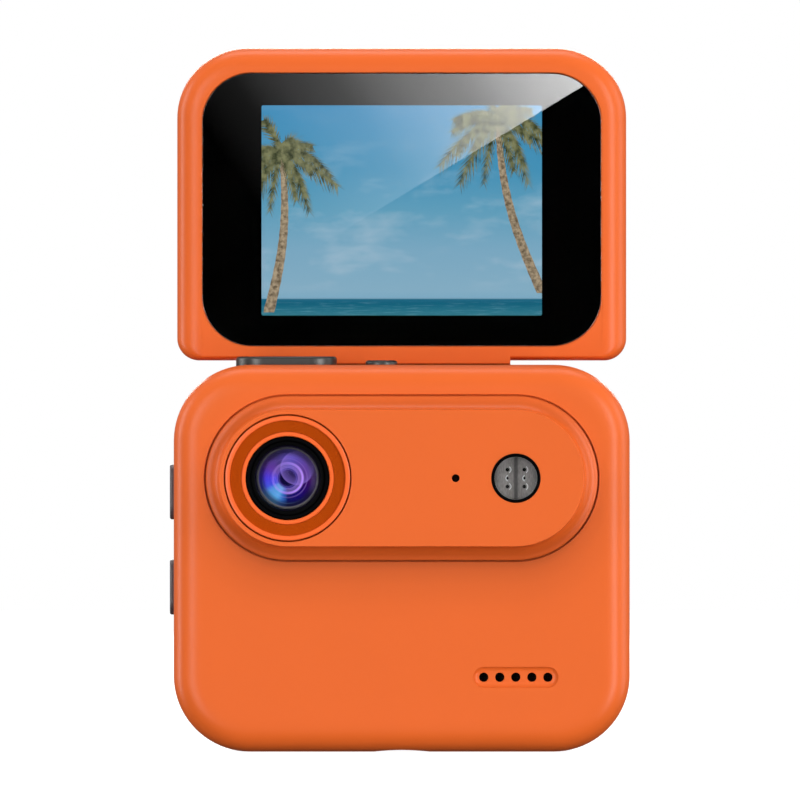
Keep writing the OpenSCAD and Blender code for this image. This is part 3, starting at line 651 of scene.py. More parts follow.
def lathe(name, profile, centre, closed=True, steps=LATHE_STEPS, place=facing):
    """A turned piece: profile is a list of (radius, along) around the axis through centre."""
    verts, faces, rings = [], [], []
    for r, along in profile:
        if r < 1e-6:
            rings.append([len(verts)])
            verts.append(place(centre[0], centre[1], along))
        else:
            rings.append(list(range(len(verts), len(verts) + steps)))
            for i in range(steps):
                a = 2 * math.pi * i / steps
                verts.append(place(centre[0] + r * math.cos(a), centre[1] + r * math.sin(a), along))
    pairs = list(zip(rings, rings[1:] + rings[:1])) if closed else list(zip(rings, rings[1:]))
    for here, there in pairs:
        for i in range(steps):
            j = (i + 1) % steps
            loop = [here[i % len(here)], here[j % len(here)], there[j % len(there)], there[i % len(there)]]
            unique = list(dict.fromkeys(loop))
            if len(unique) > 2:
                faces.append(tuple(unique))
    return mesh_from(name, verts, faces)


def rod(r, low, high, centre, steps, place=facing, soft=0.0, name="cutter"):
    """A solid round bar from low to high; soft takes the sharpness off its ends."""
    profile = [(0, low), (r - soft, low), (r, low + soft), (r, high - soft), (r - soft, high), (0, high)]
    return lathe(name, list(dict.fromkeys(profile)), centre, closed=False, steps=steps, place=place)


def slot_cutter(centre, length, wide, low, high, flare=0.0, place=facing):
    """A tool that cuts a slot from low to high; its mouth at high opens by a small rounded flare."""
    def grown(by):
        return slot_outline(centre, length + 2 * by, wide + 2 * by)

    if not flare:
        return prism(grown(0), low, high, place)
    sections = [(grown(0), low)]
    for a in quarter(4):
        sections.append((grown(flare * (1 - math.cos(a))), high - flare + flare * math.sin(a)))
    sections.append((grown(flare), high + 0.4))
    return loft("cutter", sections, place)


def round_cutter(centre, r, low, high, flare=0.0, place=facing):
    return slot_cutter(centre, 2 * r, 2 * r, low, high, flare, place)


def box_cutter(low, high):
    outline = [(low[0], low[2]), (high[0], low[2]), (high[0], high[2]), (low[0], high[2])]
    return prism(outline, -high[1], -low[1])


# ---------------------------------------------------------------- body shells

# each button's body in the frame and, for a round top button, how far its foot stands out
TOP_BUTTONS = {"shutter_button": ("shutter", 0), "power_button": ("power", 0.6)}
SIDE_BUTTONS = {"upper_side_button": "upper_side", "lower_side_button": "lower_side"}
BUTTON_FOOT_TOP = WALL + 0.05         # how far below the body's face a button's wider foot ends


def body_outline(inset):
    return rounded_outline(BODY_W / 2 - inset, inset, BODY_H - inset, max(CORNER - inset, 0.5))


def top_button_cap(node):
    """Middle, length and width of a top button's cap."""
    low, high = mm_box(node)
    foot = TOP_BUTTONS[node][1]
    length = high.x - low.x - 2 * foot
    return ((low.x + high.x) / 2, (low.y + high.y) / 2), length, length if foot else TOP_BUTTON_WIDE


def side_button_outline(node, inset):
    spot = middle(node)
    half = SIDE_BUTTON_HALF_LONG - inset
    r = SIDE_BUTTON_R - inset
    return rounded_outline(r, spot.z - half, spot.z + half, r, centre_x=spot.y)


def hollow_half(name, seam, face, edge, place, power):
    """Half of the body as a walled shell: inner skin, lip at the seam, outer skin with a rounded edge."""
    lip = 0.1
    inner_edge = edge - WALL + 0.4
    inside = rim(body_outline(WALL), body_outline(WALL + inner_edge), face - WALL - inner_edge, face - WALL)
    outside = rim(body_outline(0), body_outline(edge), face - edge, face, steps=16, power=power)
    sections = list(reversed(inside))
    sections += [(body_outline(WALL), seam), (body_outline(lip), seam), (body_outline(0), seam + lip)]
    return loft(name, sections + outside, place)


def base_channel():
    """The shallow hollow along the base, as a wide turned cutter."""
    r, deep = 33.7, 0.25
    return rod(r, -REAR - 3, FRONT + 1, (0, deep - r), 512)


def speaker_cuts():
    """The soft-edged recess and its row of holes."""
    centre = seen_at("speaker_mesh")
    length, wide, deep = 12.2, 2.9, 0.5
    holes, pitch, hole_r = 5, 2.32, 0.66
    edge = [(0.85, 1.0), (0.55, 0.97), (0.3, 0.8), (0.12, 0.5), (0.0, 0.22), (-0.06, 0.0), (-0.075, -1.0)]
    sections = [(slot_outline(centre, length - 2 * inset, wide - 2 * inset), FRONT - down * deep)
                for inset, down in edge]
    made = [loft("recess", sections)]
    for i in range(holes):
        spot = (centre[0] + (i - (holes - 1) / 2) * pitch, centre[1])
        made.append(round_cutter(spot, hole_r, FRONT - WALL - 1, FRONT - deep + 0.01, 0.1))
    return made


def button_cuts():
    """Wells of the two top and two side buttons."""
    made = []
    for node in TOP_BUTTONS:
        centre, length, wide = top_button_cap(node)
        made.append(slot_cutter(centre, length + 2 * SLIDE_GAP, wide + 2 * SLIDE_GAP, BODY_H - WALL - 0.5,
                                BODY_H, 0.12, upright))
    for node in SIDE_BUTTONS:
        outline = side_button_outline(node, -SLIDE_GAP)
        made.append(prism(outline, BODY_W / 2 - WALL - 0.5, BODY_W / 2 + 0.5, leftward))
    return made


def door_cuts():
    """The door's recess, its nail notch and the two port mouths."""
    low, high = mm_box("port_door")
    y = (low.y + high.y) / 2
    side = BODY_W / 2
    out = side + 0.5
    floor = side - DOOR_FLOOR
    half = (high.y - low.y) / 2 + SLIDE_GAP
    recess = rounded_outline(half, low.z - SLIDE_GAP, high.z + SLIDE_GAP + 0.1, 0.6, 2.0, centre_x=y)
    usb = middle("usb_c_socket")
    card = middle("card_socket")
    port = rounded_outline(1.8, usb.z - 4.65, usb.z + 4.65, 1.8, centre_x=usb.y)
    return [
        prism(recess, floor, out, rightward),
        box_cutter((side - 0.8, y - 2, low.z - 1.2), (out, y + 2, low.z + 0.5)),
        prism(port, floor - 3, floor + 0.5, rightward),
        box_cutter((floor - 3, card.y - 0.75, card.z - 5.8), (floor + 0.5, card.y + 0.75, card.z + 5.8)),
    ]


def make_front_shell():
    shell = hollow_half("front_housing", SEAM, FRONT, FRONT_EDGE, facing, 2.35)
    plate_r = PLATE_FOOT_R + 0.25
    insert_low, insert_high = mm_box("tripod_insert")
    insert_r = (insert_high.x - insert_low.x) / 2
    cuts = [
        slot_cutter((0, PLATE_Z), 2 * (PLATE_REACH + plate_r), 2 * plate_r, PLATE_BACK - 0.02, FRONT, 0.12),
        round_cutter(LENS, LENS_BORE, 0, FRONT),
        round_cutter(LIGHT, 3.3, 0, FRONT),
        round_cutter(MIC, 1.6, 0, FRONT),
        *speaker_cuts(),
        *button_cuts(),
        *door_cuts(),
        round_cutter((0, 0), insert_r + 0.05, -1, insert_high.z + 0.05, place=upright),
        base_channel(),
    ]
    combine(shell, cuts, "DIFFERENCE")
    dress(shell, "camera", "body_orange", "front_shell", look="front_orange")


def make_rear_shell():
    shell = hollow_half("rear_housing", -SEAM, REAR, REAR_EDGE, rearward, 2.1)
    y, z = HINGE
    ear_from, ear_to = KNUCKLE_HALF + 0.3, KNUCKLE_HALF + 3.8
    trough_end = ear_to + 0.3
    trough_outline = [(y - 4, z - 4), (REAR - 0.2, z - 4), (REAR - 0.2, BODY_H - 3),
                      (REAR - 1.2, BODY_H - 1.3), (REAR - 3, BODY_H - 1), (y - 4, BODY_H - 1)]
    trough = prism(trough_outline, -trough_end, trough_end, rightward, "trough")
    ear = [(0, ear_from - 0.5), (KNUCKLE_R - 0.1, ear_from - 0.5), (KNUCKLE_R - 0.1, ear_to - 0.9),
           (KNUCKLE_R - 0.38, ear_to - 0.3), (KNUCKLE_R - 1.1, ear_to), (0, ear_to)]
    added = [trough]
    for side in (-1, 1):
        profile = [(r, side * along) for r, along in ear]
        added.append(lathe("ear", profile, HINGE, closed=False, steps=64, place=rightward))
    combine(shell, added, "UNION")
    # room for the screen's knuckle: round below the hinge axis and open above it
    room = KNUCKLE_R + 0.3
    turns = [math.pi + math.pi * i / 48 for i in range(49)]
    notch = [(y - room, BODY_H + 1)] + [(y + room * math.cos(a), z + room * math.sin(a)) for a in turns]
    notch += [(REAR + 5, z), (REAR + 5, BODY_H + 1)]
    cuts = [
        prism(notch, -ear_from, ear_from, rightward),
        rod(PIN_R, pin_low.x, pin_high.x, HINGE, 48, rightward),
        base_channel(),
    ]
    for x in (-25.5, 25.5):
        for height in (6.6, 49.4):
            cuts.append(round_cutter((x, height), 1.75, REAR - 1.4, REAR, 0.2, rearward))
    for x in (-22, 22):
        cuts.append(round_cutter((x, middle("rest_pads").z), 2.5, REAR - 0.6, REAR, 0.1, rearward))
    combine(shell, cuts, "DIFFERENCE")
    dress(shell, "camera", "body_orange", "rear_shell")


# ---------------------------------------------------------------- lens plate and lens

GROUND_FROM = 3.95      # the front lens is ground matt outside this radius


def make_lens_plate():
    """Raised stadium plate: sunk foot, hollow curve up to the flat top, holes for lens, light and sound."""
    def outline(r):
        return slot_outline((0, PLATE_Z), 2 * (PLATE_REACH + r), 2 * r)

    cove_r_at = PLATE_FOOT_R + 0.15
    cove_along = PLATE_TOP - 0.1
    top_r = cove_r_at - COVE
    steps = 18
    sections = [(outline(PLATE_FOOT_R), PLATE_BACK), (outline(PLATE_FOOT_R), FRONT - 0.1),
                (outline(PLATE_FOOT_R - 0.09), FRONT - 0.01)]
    for i in range(1, steps + 1):
        a = math.radians(7 + 83 * i / steps)
        sections.append((outline(cove_r_at - COVE * math.sin(a)), cove_along - COVE * math.cos(a)))
    sections += [(outline(top_r - 0.04), PLATE_TOP - 0.03), (outline(top_r - 0.12), PLATE_TOP)]
    plate = loft("lens_surround", sections)
    cuts = [
        round_cutter(LENS, turned("lens_ring")[0] + 0.14, FRONT - 0.3, PLATE_TOP, 0.1),
        round_cutter(LENS, LENS_BORE, FRONT - 2, FRONT),
        round_cutter(LIGHT, turned("led_bezel")[0] + 0.04, FRONT - 2, PLATE_TOP, 0.05),
        round_cutter(MIC, 0.56, FRONT - 2, PLATE_TOP, 0.08),
    ]
    combine(plate, cuts, "DIFFERENCE")
    dress(plate, "camera", "body_orange", "lens_plate", look="plate_orange")


def make_lens_rings():
    r, top, back = turned("lens_ring")
    r = r - 0.06
    inner, ledge, floor = 6.08, top - 0.5, top - 1.1
    trim = lathe("lens_trim", [
        (inner, back), (inner, ledge - 0.1), (inner + 0.1, ledge), (inner + 0.5, ledge),
        (inner + 0.6, ledge - 0.08), (inner + 0.6, floor), (r - 0.7, floor), (r - 0.7, top - 0.1),
        (r - 0.62, top), (r - 0.16, top), (r - 0.05, top - 0.05), (r, top - 0.16), (r, back)], LENS)
    dress(trim, "camera", "trim_orange", "lens_ring")

    outer, top, back = turned("lens_groove_ring")
    inner, count = 6.73, 9
    pitch = (outer - inner) / count
    profile = [(inner, back), (outer, back)]
    for i in range(count):
        edge = outer - i * pitch
        level = top - 0.022 * i
        profile += [(edge, level - 0.05), (edge - 0.2 * pitch, level), (edge - 0.72 * pitch, level),
                    (edge - 0.86 * pitch, level - 0.07)]
    profile.append((inner, top - 0.3))
    dress(lathe("grooved_ring", profile, LENS), "camera", "groove_brown", "lens_groove_ring")


def make_barrel():
    r, top, back = turned("lens_barrel")
    barrel = lathe("lens_barrel_turned", [
        (3.3, back), (r, back), (r, top - 0.12), (r - 0.12, top), (5.52, top), (5.4, top - 0.1), (5.4, 10.4),
        (4.7, 10.4), (4.7, 9.2), (3.9, 9.2), (3.9, 4.6), (3.3, 4.6)], LENS)
    dress(barrel, "camera", "black_plastic", "lens_barrel", look="lens_black")

    r, top, back = turned("lens_retaining_ring")
    keeper = lathe("lens_keeper", [
        (4.52, back), (r, back), (r, top - 0.08), (r - 0.08, top), (4.86, top), (4.74, top - 0.06),
        (4.6, top - 0.5), (4.52, top - 0.75)], LENS)
    dress(keeper, "camera", "black_plastic", "lens_retaining_ring", look="lens_black")


def lens_with_dome(name, node, sphere_r, edge_along, look):
    """A lens with a flat back and a domed front whose edge is at a given distance along."""
    r, _, back = turned(node)
    drop = math.sqrt(sphere_r * sphere_r - r * r)
    profile = [(0, back), (min(3.96, r - 0.3), back), (r - 0.06, back), (r, back + 0.06),
               (r, edge_along - 0.05)]
    steps = 22
    widest = math.asin((r - 0.05) / sphere_r)
    for i in range(steps + 1):
        a = widest * (1 - i / steps)
        profile.append((sphere_r * math.sin(a), edge_along - drop + sphere_r * math.cos(a)))
    lens = lathe(name, profile, LENS, closed=False)
    dress(lens, "camera", "lens_glass", node, look=look)
    return lens, back


def make_lens_glass():
    front, back = lens_with_dome("front_lens", "front_element", 10, 11.7, "lens_glass")
    front.data.materials.append(finish_of("lens_edge"))
    for face in front.data.polygons:
        spot = face.center / MM
        out = math.hypot(spot.x - LENS[0], spot.z - LENS[1])
        if out > GROUND_FROM and -spot.y < back + 1.6:
            face.material_index = 1
    # the inner lens carries painted reflections that glow
    lens_with_dome("coated_lens", "second_element", 8, 8.2, "coated_lens")


# ---------------------------------------------------------------- light

def glint_bead(spot, cup_r, back):
    """A small near-white dome in each cup, a little off its middle: a painted glint on the chip's lens."""
    low = back + 0.28
    return lathe("glint_bead", [(0, low), (cup_r * 0.42, low), (cup_r * 0.3, back + 0.45), (0, back + 0.5)],
                 (spot[0] + 0.06, spot[1] + 0.05), closed=False, steps=16)


def arc_rib(centre, r, along, start, stop):
    """A thin raised rib that follows part of a circle."""
    thick, steps, sides = 0.075, 22, 8
    rings = []
    for i in range(steps + 1):
        a = math.radians(start + (stop - start) * i / steps)
        ring = []
        for k in range(sides):
            b = 2 * math.pi * k / sides
            out = r + thick * math.cos(b)
            x, z = centre[0] + out * math.cos(a), centre[1] + out * math.sin(a)
            ring.append((x, z, along + thick * math.sin(b)))
        rings.append(ring)
    return skin("rib", rings)


def make_light():
    """Flash light: black bezel, clear window, and a ribbed grey reflector with six small cups."""
    r, top, back = turned("led_bezel")
    bezel = lathe("light_bezel", [
        (r - 0.43, back), (r, back), (r, top - 0.1), (r - 0.1, top), (r - 0.3, top),
        (r - 0.43, top - 0.14)], LIGHT)
    dress(bezel, "camera", "black_plastic", "led_bezel", look="lens_black")

    r, top, back = turned("led_window")
    window = lathe("light_window", [
        (0, back), (r, back), (r, top - 0.1), (r - 0.1, top - 0.02), (0, top)], LIGHT, closed=False)
    dress(window, "camera", "clear_window", "led_window")

    r, top, back = turned("led_reflector")
    dish = lathe("light_reflector", [
        (0, back), (r, back), (r, top), (r - 0.25, top - 0.02), (0, top - 0.05)], LIGHT, closed=False)
    cuts = []
    ribs = []
    # thin slits: across, foot, head, half width and depth
    slits = [(-0.62, -2.9, 2.9, 0.04, 0.15), (0.62, -2.9, 2.9, 0.04, 0.15), (0, -3.0, 3.0, 0.05, 0.3)]
    for x in (-1.22, 1.22):
        for z in (-1.22, 0, 1.22):
            cup_r = 0.27 if z else 0.17
            spot = (LIGHT[0] + x, LIGHT[1] + z)
            cuts.append(round_cutter(spot, cup_r, back + 0.3, top - 0.03, 0.06))
            ribs.append(glint_bead(spot, cup_r, back))
            if z:
                ribs.append(arc_rib((spot[0] + 0.02, spot[1]), cup_r + 0.22, top - 0.05, -62, 62))
        ribs.append(arc_rib((LIGHT[0] + x + 0.2, LIGHT[1]), 0.42, top - 0.05, 105, 255))
        slits += [(x, -2.75, -1.75, 0.03, 0.16), (x, 1.75, 2.75, 0.03, 0.16)]
    for x, foot, head, half, deep in slits:
        cuts.append(box_cutter((LIGHT[0] + x - half, -top - 0.1, LIGHT[1] + foot),
                               (LIGHT[0] + x + half, -top + deep, LIGHT[1] + head)))
    combine(dish, cuts, "DIFFERENCE")
    dress(dish, "camera", "grey_reflector", "led_reflector", look="reflector_grey")
    # The ribs and the domes in the cups are near-white: painted highlights on the ribs and painted glints in
    # the cups.
    dress(join_pieces("reflector_ribs", ribs), "camera", "grey_reflector", look="bright_rib")


# ---------------------------------------------------------------- buttons, door and small parts

def make_top_buttons():
    """Metal buttons with a rounded edge and a faintly dished middle, on a wider foot inside the body."""
    edge = 0.45
    foot_top = BODY_H - BUTTON_FOOT_TOP
    for node, (body, flange) in TOP_BUTTONS.items():
        low, high = mm_box(node)
        centre, length, wide = top_button_cap(node)

        def outline(inset):
            return slot_outline(centre, length - 2 * inset, wide - 2 * inset)

        sections = [(outline(0), foot_top - 0.01)]
        sections += rim(outline(0), outline(edge), high.z - edge, high.z, steps=8)
        sections += [(outline(edge + 0.4), high.z - 0.01), (outline(edge + 1.2), high.z - 0.09)]
        cap = loft(node + "_cap", sections, upright)
        if flange:
            foot = outline(-flange)
        else:
            foot = rounded_outline(4.5, centre[1] - 4.3, centre[1] + 4.3, 0.5, centre_x=centre[0])
        combine(cap, [prism(foot, low.z, foot_top, upright, "foot")], "UNION")
        dress(cap, body, "button_grey", node)


def make_side_buttons():
    edge = 0.3
    foot_top = BODY_W / 2 - BUTTON_FOOT_TOP
    for node, body in SIDE_BUTTONS.items():
        low, high = mm_box(node)
        top = -low.x
        full = side_button_outline(node, 0)
        sections = [(full, foot_top - 0.01)]
        sections += rim(full, side_button_outline(node, edge), top - edge, top, steps=8)
        sections.append((side_button_outline(node, 1.1), top - 0.05))
        cap = loft(node + "_cap", sections, leftward)
        spot = middle(node)
        foot = rounded_outline(2.5, spot.z - 4.5, spot.z + 4.5, 0.4, centre_x=spot.y)
        combine(cap, [prism(foot, -high.x, foot_top, leftward, "foot")], "UNION")
        dress(cap, body, "side_button_grey", node)


def make_door():
    """Port door: flush skin with a soft edge, three grip grooves and a rolled hinge edge at its top."""
    low, high = mm_box("port_door")
    y = (low.y + high.y) / 2
    half = (high.y - low.y) / 2
    skin_x = mm_box("door_seal")[1].x
    pin = middle("door_hinge_pin")
    edge = 0.14

    def outline(inset):
        return rounded_outline(half - inset, low.z + inset, pin.z - 0.02, 0.3, 2 - inset, centre_x=y)

    sections = [(outline(0.06), skin_x), (outline(0), skin_x + 0.08)]
    sections += rim(outline(0), outline(edge), high.x - edge, high.x, steps=5)
    door = loft("port_cover", sections, rightward)
    axis = (pin.x, pin.z)
    combine(door, [rod(high.z - pin.z, low.y, high.y, axis, 48, rearward, 0.1, "roll")], "UNION")
    cuts = [rod(0.33, low.y - 1, high.y + 1, axis, 32, rearward)]
    for i in range(3):
        groove = slot_outline((y, low.z + 2.3 + i), 4.8, 0.42)
        cuts.append(prism(groove, high.x - 0.25, high.x + 0.3, rightward))
    combine(door, cuts, "DIFFERENCE")
    dress(door, "door", "body_orange", "port_door")


def make_case_screws():
    """Four countersunk screws with a six-lobed drive recess and a thread."""
    low, high = mm_box("case_screws")
    head_r, shaft_r, thread_deep, pitch, lobes = 1.62, 0.8, 0.18, 0.4, 6
    top = high.y
    profile = [(0, top), (head_r - 0.1, top), (head_r, top - 0.1), (head_r, top - 0.45), (shaft_r, top - 1.2)]
    turn = top - 1.4
    while turn > low.y + 0.5:
        profile += [(shaft_r, turn), (shaft_r - thread_deep, turn - pitch / 2)]
        turn -= pitch
    profile += [(shaft_r - 0.3, low.y), (0, low.y)]
    screws = []
    for x in (low.x + head_r, high.x - head_r):
        for z in (low.z + head_r, high.z - head_r):
            screw = lathe("screw", profile, (x, z), closed=False, steps=48, place=rearward)
            drive = []
            for i in range(72):
                a = 2 * math.pi * i / 72
                r = 0.74 + 0.13 * math.cos(lobes * a)
                drive.append((x + r * math.cos(a), z + r * math.sin(a)))
            combine(screw, [prism(drive, top - 0.75, top + 0.5, rearward)], "DIFFERENCE")
            screws.append(screw)
    dress(join_pieces("cover_screws", screws), "camera", "screw_steel", "case_screws")


def make_speaker_mesh():
    """Woven dust mesh behind the sound holes: crossed fine wires."""
    low, high = mm_box("speaker_mesh")
    wires = []
    pitch, r, layer = 0.24, 0.07, 0.05
    for axis, other in ((0, 2), (2, 0)):
        start, stop = low[axis] + 0.2, high[axis] - 0.2
        along = -(low.y + high.y) / 2 + (-layer if axis else layer)
        for i in range(int((stop - start) / pitch) + 1):
            at = start + i * pitch
            rings = []
            for end in (low[other] + 0.12, high[other] - 0.12):
                ring = []
                for k in range(6):
                    b = math.pi / 3 * k
                    aside, out = at + r * math.cos(b), along - r * math.sin(b)
                    ring.append((end, aside, out) if axis else (aside, end, out))
                rings.append(ring)
            wires.append(skin("wire", rings))
    dress(join_pieces("speaker_cloth", wires), "camera", "stamped_steel", "speaker_mesh", look="dark_mesh")


# ---------------------------------------------------------------- flip screen

def centred_outline(half_w, half_h, r):
    return rounded_outline(half_w, GLASS_Z - half_h, GLASS_Z + half_h, r)


def glass_outline(inset):
    return centred_outline(GLASS_HALF - inset, GLASS_HALF_TALL - inset, GLASS_CORNER - inset)


def room_outline(wider, taller, r):
    """Outline of the room inside the screen's housing, measured from the glass's edge."""
    return centred_outline(GLASS_HALF + wider, GLASS_HALF_TALL + taller, r)


def frame_outline(inset, low_inset):
    """The screen's outer outline, moved in by one distance at the sides and top and another at its foot."""
    return rounded_outline(SCREEN_HALF - inset, SCREEN_FOOT + low_inset, SCREEN_TOP - inset,
                           SCREEN_TOP_R - inset, max(SCREEN_FOOT_R - inset, 0.6))


def make_screen_frame():
    front_edge, back_edge = 3.6, 1.3
    outer = frame_outline(0, 0)
    sections = list(reversed(rim(outer, frame_outline(back_edge, back_edge * 0.6), SCREEN_BACK + back_edge,
                                 SCREEN_BACK, steps=8)))
    sections += rim(outer, frame_outline(front_edge, 0.7), SCREEN_FRONT - front_edge, SCREEN_FRONT, steps=16,
                    power=2.2)
    shelf = room_outline(-1.25, -1.25, 6)
    middle_room = room_outline(1.05, 0.3, 7.5)
    back_room = room_outline(1.65, 0.5, 7.8)
    sections += [
        (glass_outline(-0.22), SCREEN_FRONT - 0.002),
        (glass_outline(-0.1), SCREEN_FRONT - 0.1),
        (glass_outline(-0.1), SCREEN_FRONT - 1.25),
        (shelf, SCREEN_FRONT - 1.25),
        (shelf, SCREEN_FRONT - 2.3),
        (middle_room, SCREEN_FRONT - 2.3),
        (middle_room, SCREEN_BACK + 1.1),
        (back_room, SCREEN_BACK + 1.1),
        (back_room, SCREEN_BACK + 0.05),
        (room_outline(1.7, 0.55, 7.85), SCREEN_BACK),
    ]
    shell = loft("screen_housing", sections, closed=True)

    # the knuckle: barrel, neck and the tongue that fills the gap over the body, each a hair narrower
    y, z = HINGE
    step, soft = 0.02, 0.18
    neck_back = y - KNUCKLE_R + 0.15
    foot = BODY_H + TONGUE_GAP
    neck = [(neck_back, z), (-SCREEN_BACK, z), (-SCREEN_BACK, SCREEN_FOOT + 1), (neck_back, SCREEN_FOOT + 1)]
    tongue_top = SCREEN_FOOT + 1.6
    tongue = [(-SCREEN_FRONT + soft, foot), (-SCREEN_BACK - 0.3, foot), (-SCREEN_BACK - 0.3, tongue_top),
              (-SCREEN_FRONT, tongue_top), (-SCREEN_FRONT, foot + soft),
              (-SCREEN_FRONT + 0.3 * soft, foot + 0.3 * soft)]
    knuckle = [rod(KNUCKLE_R, -KNUCKLE_HALF, KNUCKLE_HALF, HINGE, 96, rightward, 0.15, "barrel")]
    for number, outline in enumerate((neck, tongue), 1):
        half = KNUCKLE_HALF - number * step
        knuckle.append(prism(outline, -half, half, rightward, "knuckle"))
    combine(shell, knuckle, "UNION")

    sleeve_low, sleeve_high = mm_box("hinge_sleeves")
    bore = (sleeve_high.y - sleeve_low.y) / 2 + 0.02
    reach = KNUCKLE_HALF + 0.5
    cuts = [
        box_cutter((-6, -SCREEN_BACK - 1.5, z + 0.33), (6, -SCREEN_BACK - 1.15, glass_low.z + 0.5)),
        rod(bore, -reach, reach, HINGE, 64, rightward),
    ]
    combine(shell, cuts, "DIFFERENCE")
    dress(shell, "screen", "body_orange", "screen_frame")


def make_back_cover():
    half_w = (cover_high.x - cover_low.x) / 2
    half_h = (cover_high.z - cover_low.z) / 2
    edge = 0.18

    def outline(inset):
        return centred_outline(half_w - inset, half_h - inset, 7.75 - inset)

    sections = [(outline(0), -cover_low.y)]
    sections += rim(outline(0), outline(edge), SCREEN_BACK + edge, SCREEN_BACK, steps=4)
    dress(loft("screen_rear_cover", sections), "screen", "body_orange", "screen_back_cover")


def make_glass():
    """The cover glass, and the black ink ring behind it whose window shows the display."""
    front, back = -glass_low.y, -glass_high.y + 0.04
    edge = 0.12
    sections = [(glass_outline(0), back)]
    sections += rim(glass_outline(0), glass_outline(edge), front - edge, front, steps=4)
    dress(loft("screen_glass", sections), "screen", "cover_glass", "cover_glass")
    window_half_h = 15.25
    window = rounded_outline(20.35, PICTURE_Z - window_half_h, PICTURE_Z + window_half_h, 0.25)
    ink_front, ink_back = back - 0.01, back - 0.035
    ink = loft("glass_ink", [(glass_outline(0.05), ink_front), (window, ink_front), (window, ink_back),
                             (glass_outline(0.05), ink_back)], closed=True)
    dress(ink, "screen", "cover_glass", look="glass_ink")


def make_picture():
    """The lit display: a beach with two palms under an open sky."""
    panel_low, panel_high = mm_box("display_panel")
    top = -panel_low.y + 0.005      # the drawn layers lie on this surface, under the glass
    slab = prism(centred_outline(22.2, 17.5, 0.8), -panel_high.y, top, name="display_picture")
    dress(slab, "screen", "display", "display_panel", look="beach_picture")
    left_palm = ((-19.3, -14.8), (-17.4, 8.3), 1.2, 1.0)
    right_palm = ((20.4, -12.0), (13.9, 13.3), -1.5, 1.12)
    trunks, leaves = [], []
    for foot, crown, bend, size in (left_palm, right_palm):
        trunks.append(palm_trunk(foot, crown, bend, top))
        leaves += palm_crown(crown, size, top)
    dress(join_pieces("display_palm_trunks", trunks), "screen", "display", look="picture_trunk")
    dress(join_pieces("display_palm_leaves", leaves), "screen", "display", look="picture_leaf")


def palm_trunk(foot, crown, bend, along):
    steps = 26
    back, front = along + 0.003, along + 0.008
    rings = []
    for i in range(steps + 1):
        t = i / steps
        x = foot[0] + (crown[0] - foot[0]) * t + bend * math.sin(math.pi * t)
        z = PICTURE_Z + foot[1] + (crown[1] - foot[1]) * t
        half = 0.78 - 0.42 * t + (0.05 if i % 2 else 0)
        rings.append([(x - half, z, back), (x + half, z, back), (x + half, z, front), (x - half, z, front)])
    return skin("trunk", rings)


def palm_crown(crown, size, along):
    """Fronds that arch out of the crown and hang at their tips, long and short ones in turn."""
    count = 21
    fronds = []
    for number in range(count):
        angle = math.radians(250 - 320 * number / (count - 1))
        reach = size * (8.2 + 1.7 * math.sin(number * 2.3)) * (1.0 if number % 2 else 0.72)
        droop = size * (3.2 + 1.3 * math.cos(number * 1.7))
        fronds.append(frond(crown, angle, reach, droop, along + 0.01 + 0.0008 * number))
    return fronds


def frond(crown, angle, reach, droop, along):
    """One frond: a rib with long narrow leaflets on both sides that point outward and hang."""
    count, thick, leaflet_wide = 34, 0.003, 0.34
    verts, faces = [], []

    def spine(t):
        out = reach * (t - 0.12 * t * t)
        rise = out * math.sin(angle) * 0.8 - droop * t * t
        return crown[0] + out * math.cos(angle), PICTURE_Z + crown[1] + rise

    def add_sliver(points):
        start = len(verts)
        size = len(points)
        for level in (along, along + thick):
            verts.extend(facing(x, z, level) for x, z in points)
        faces.append(tuple(range(start, start + size)))
        faces.append(tuple(start + size + i for i in reversed(range(size))))
        for i in range(size):
            j = (i + 1) % size
            faces.append((start + i, start + j, start + size + j, start + size + i))

    for i in range(count):
        t = i / count
        x, z = spine(t)
        next_x, next_z = spine(t + 1 / count)
        half = 0.16 * (1 - t) + 0.04
        add_sliver([(x, z - half), (next_x, next_z - half), (next_x, next_z + half), (x, z + half)])
        step = math.hypot(next_x - x, next_z - z)
        way_x, way_z = (next_x - x) / step, (next_z - z) / step
        length = reach * 0.24 * math.sin(math.pi * (0.1 + 0.8 * t)) + 0.35 + 0.25 * math.sin(i * 2.9)
        for side in (-1, 1):
            lean = 0.85 + 0.12 * math.sin(i * 1.9 + side)
            tip_x = x + length * (lean * way_x - 0.5 * side * way_z)
            tip_z = z + length * (lean * way_z + 0.5 * side * way_x) - 0.3 * length
            bulge_x = (x + tip_x) / 2 + 0.5 * leaflet_wide * way_x
            bulge_z = (z + tip_z) / 2 + 0.5 * leaflet_wide * way_z
            add_sliver([(x, z), (x + leaflet_wide * way_x, z + leaflet_wide * way_z), (bulge_x, bulge_z),
                        (tip_x, tip_z)])
    return mesh_from("frond", verts, faces, weld=False)


# ---------------------------------------------------------------- the object

make_front_shell()
make_rear_shell()
make_lens_plate()
make_lens_rings()
make_barrel()
make_lens_glass()
make_light()
make_top_buttons()
make_side_buttons()
make_door()
make_case_screws()
make_speaker_mesh()
make_screen_frame()
make_back_cover()
make_glass()
make_picture()

# The inner and rear CAD pieces keep their shape and get the finish of their slot
# The LED chips take the near-black look: painted shade of the deep cups they sit in.
OWN_LOOK = {"microphone": "microphone_can", "mic_gasket": "lens_black", "led_chips": "lens_black"}
slot_of = {row["node"]: row["material_slot"] for row in frame["record"]["subparts"]}
for node, piece in frame["nodes"].items():
    piece.data.materials.clear()
    piece.data.materials.append(finish_of(OWN_LOOK.get(node, slot_of[node])))


# ---------------------------------------------------------------- studio

TARGET = Vector((0, 0, 0.05))       # the point the softboxes face
CARD_POWER = 9.0
VIEW_WIDE = 116                     # millimetres that the camera sees at the body's middle plane


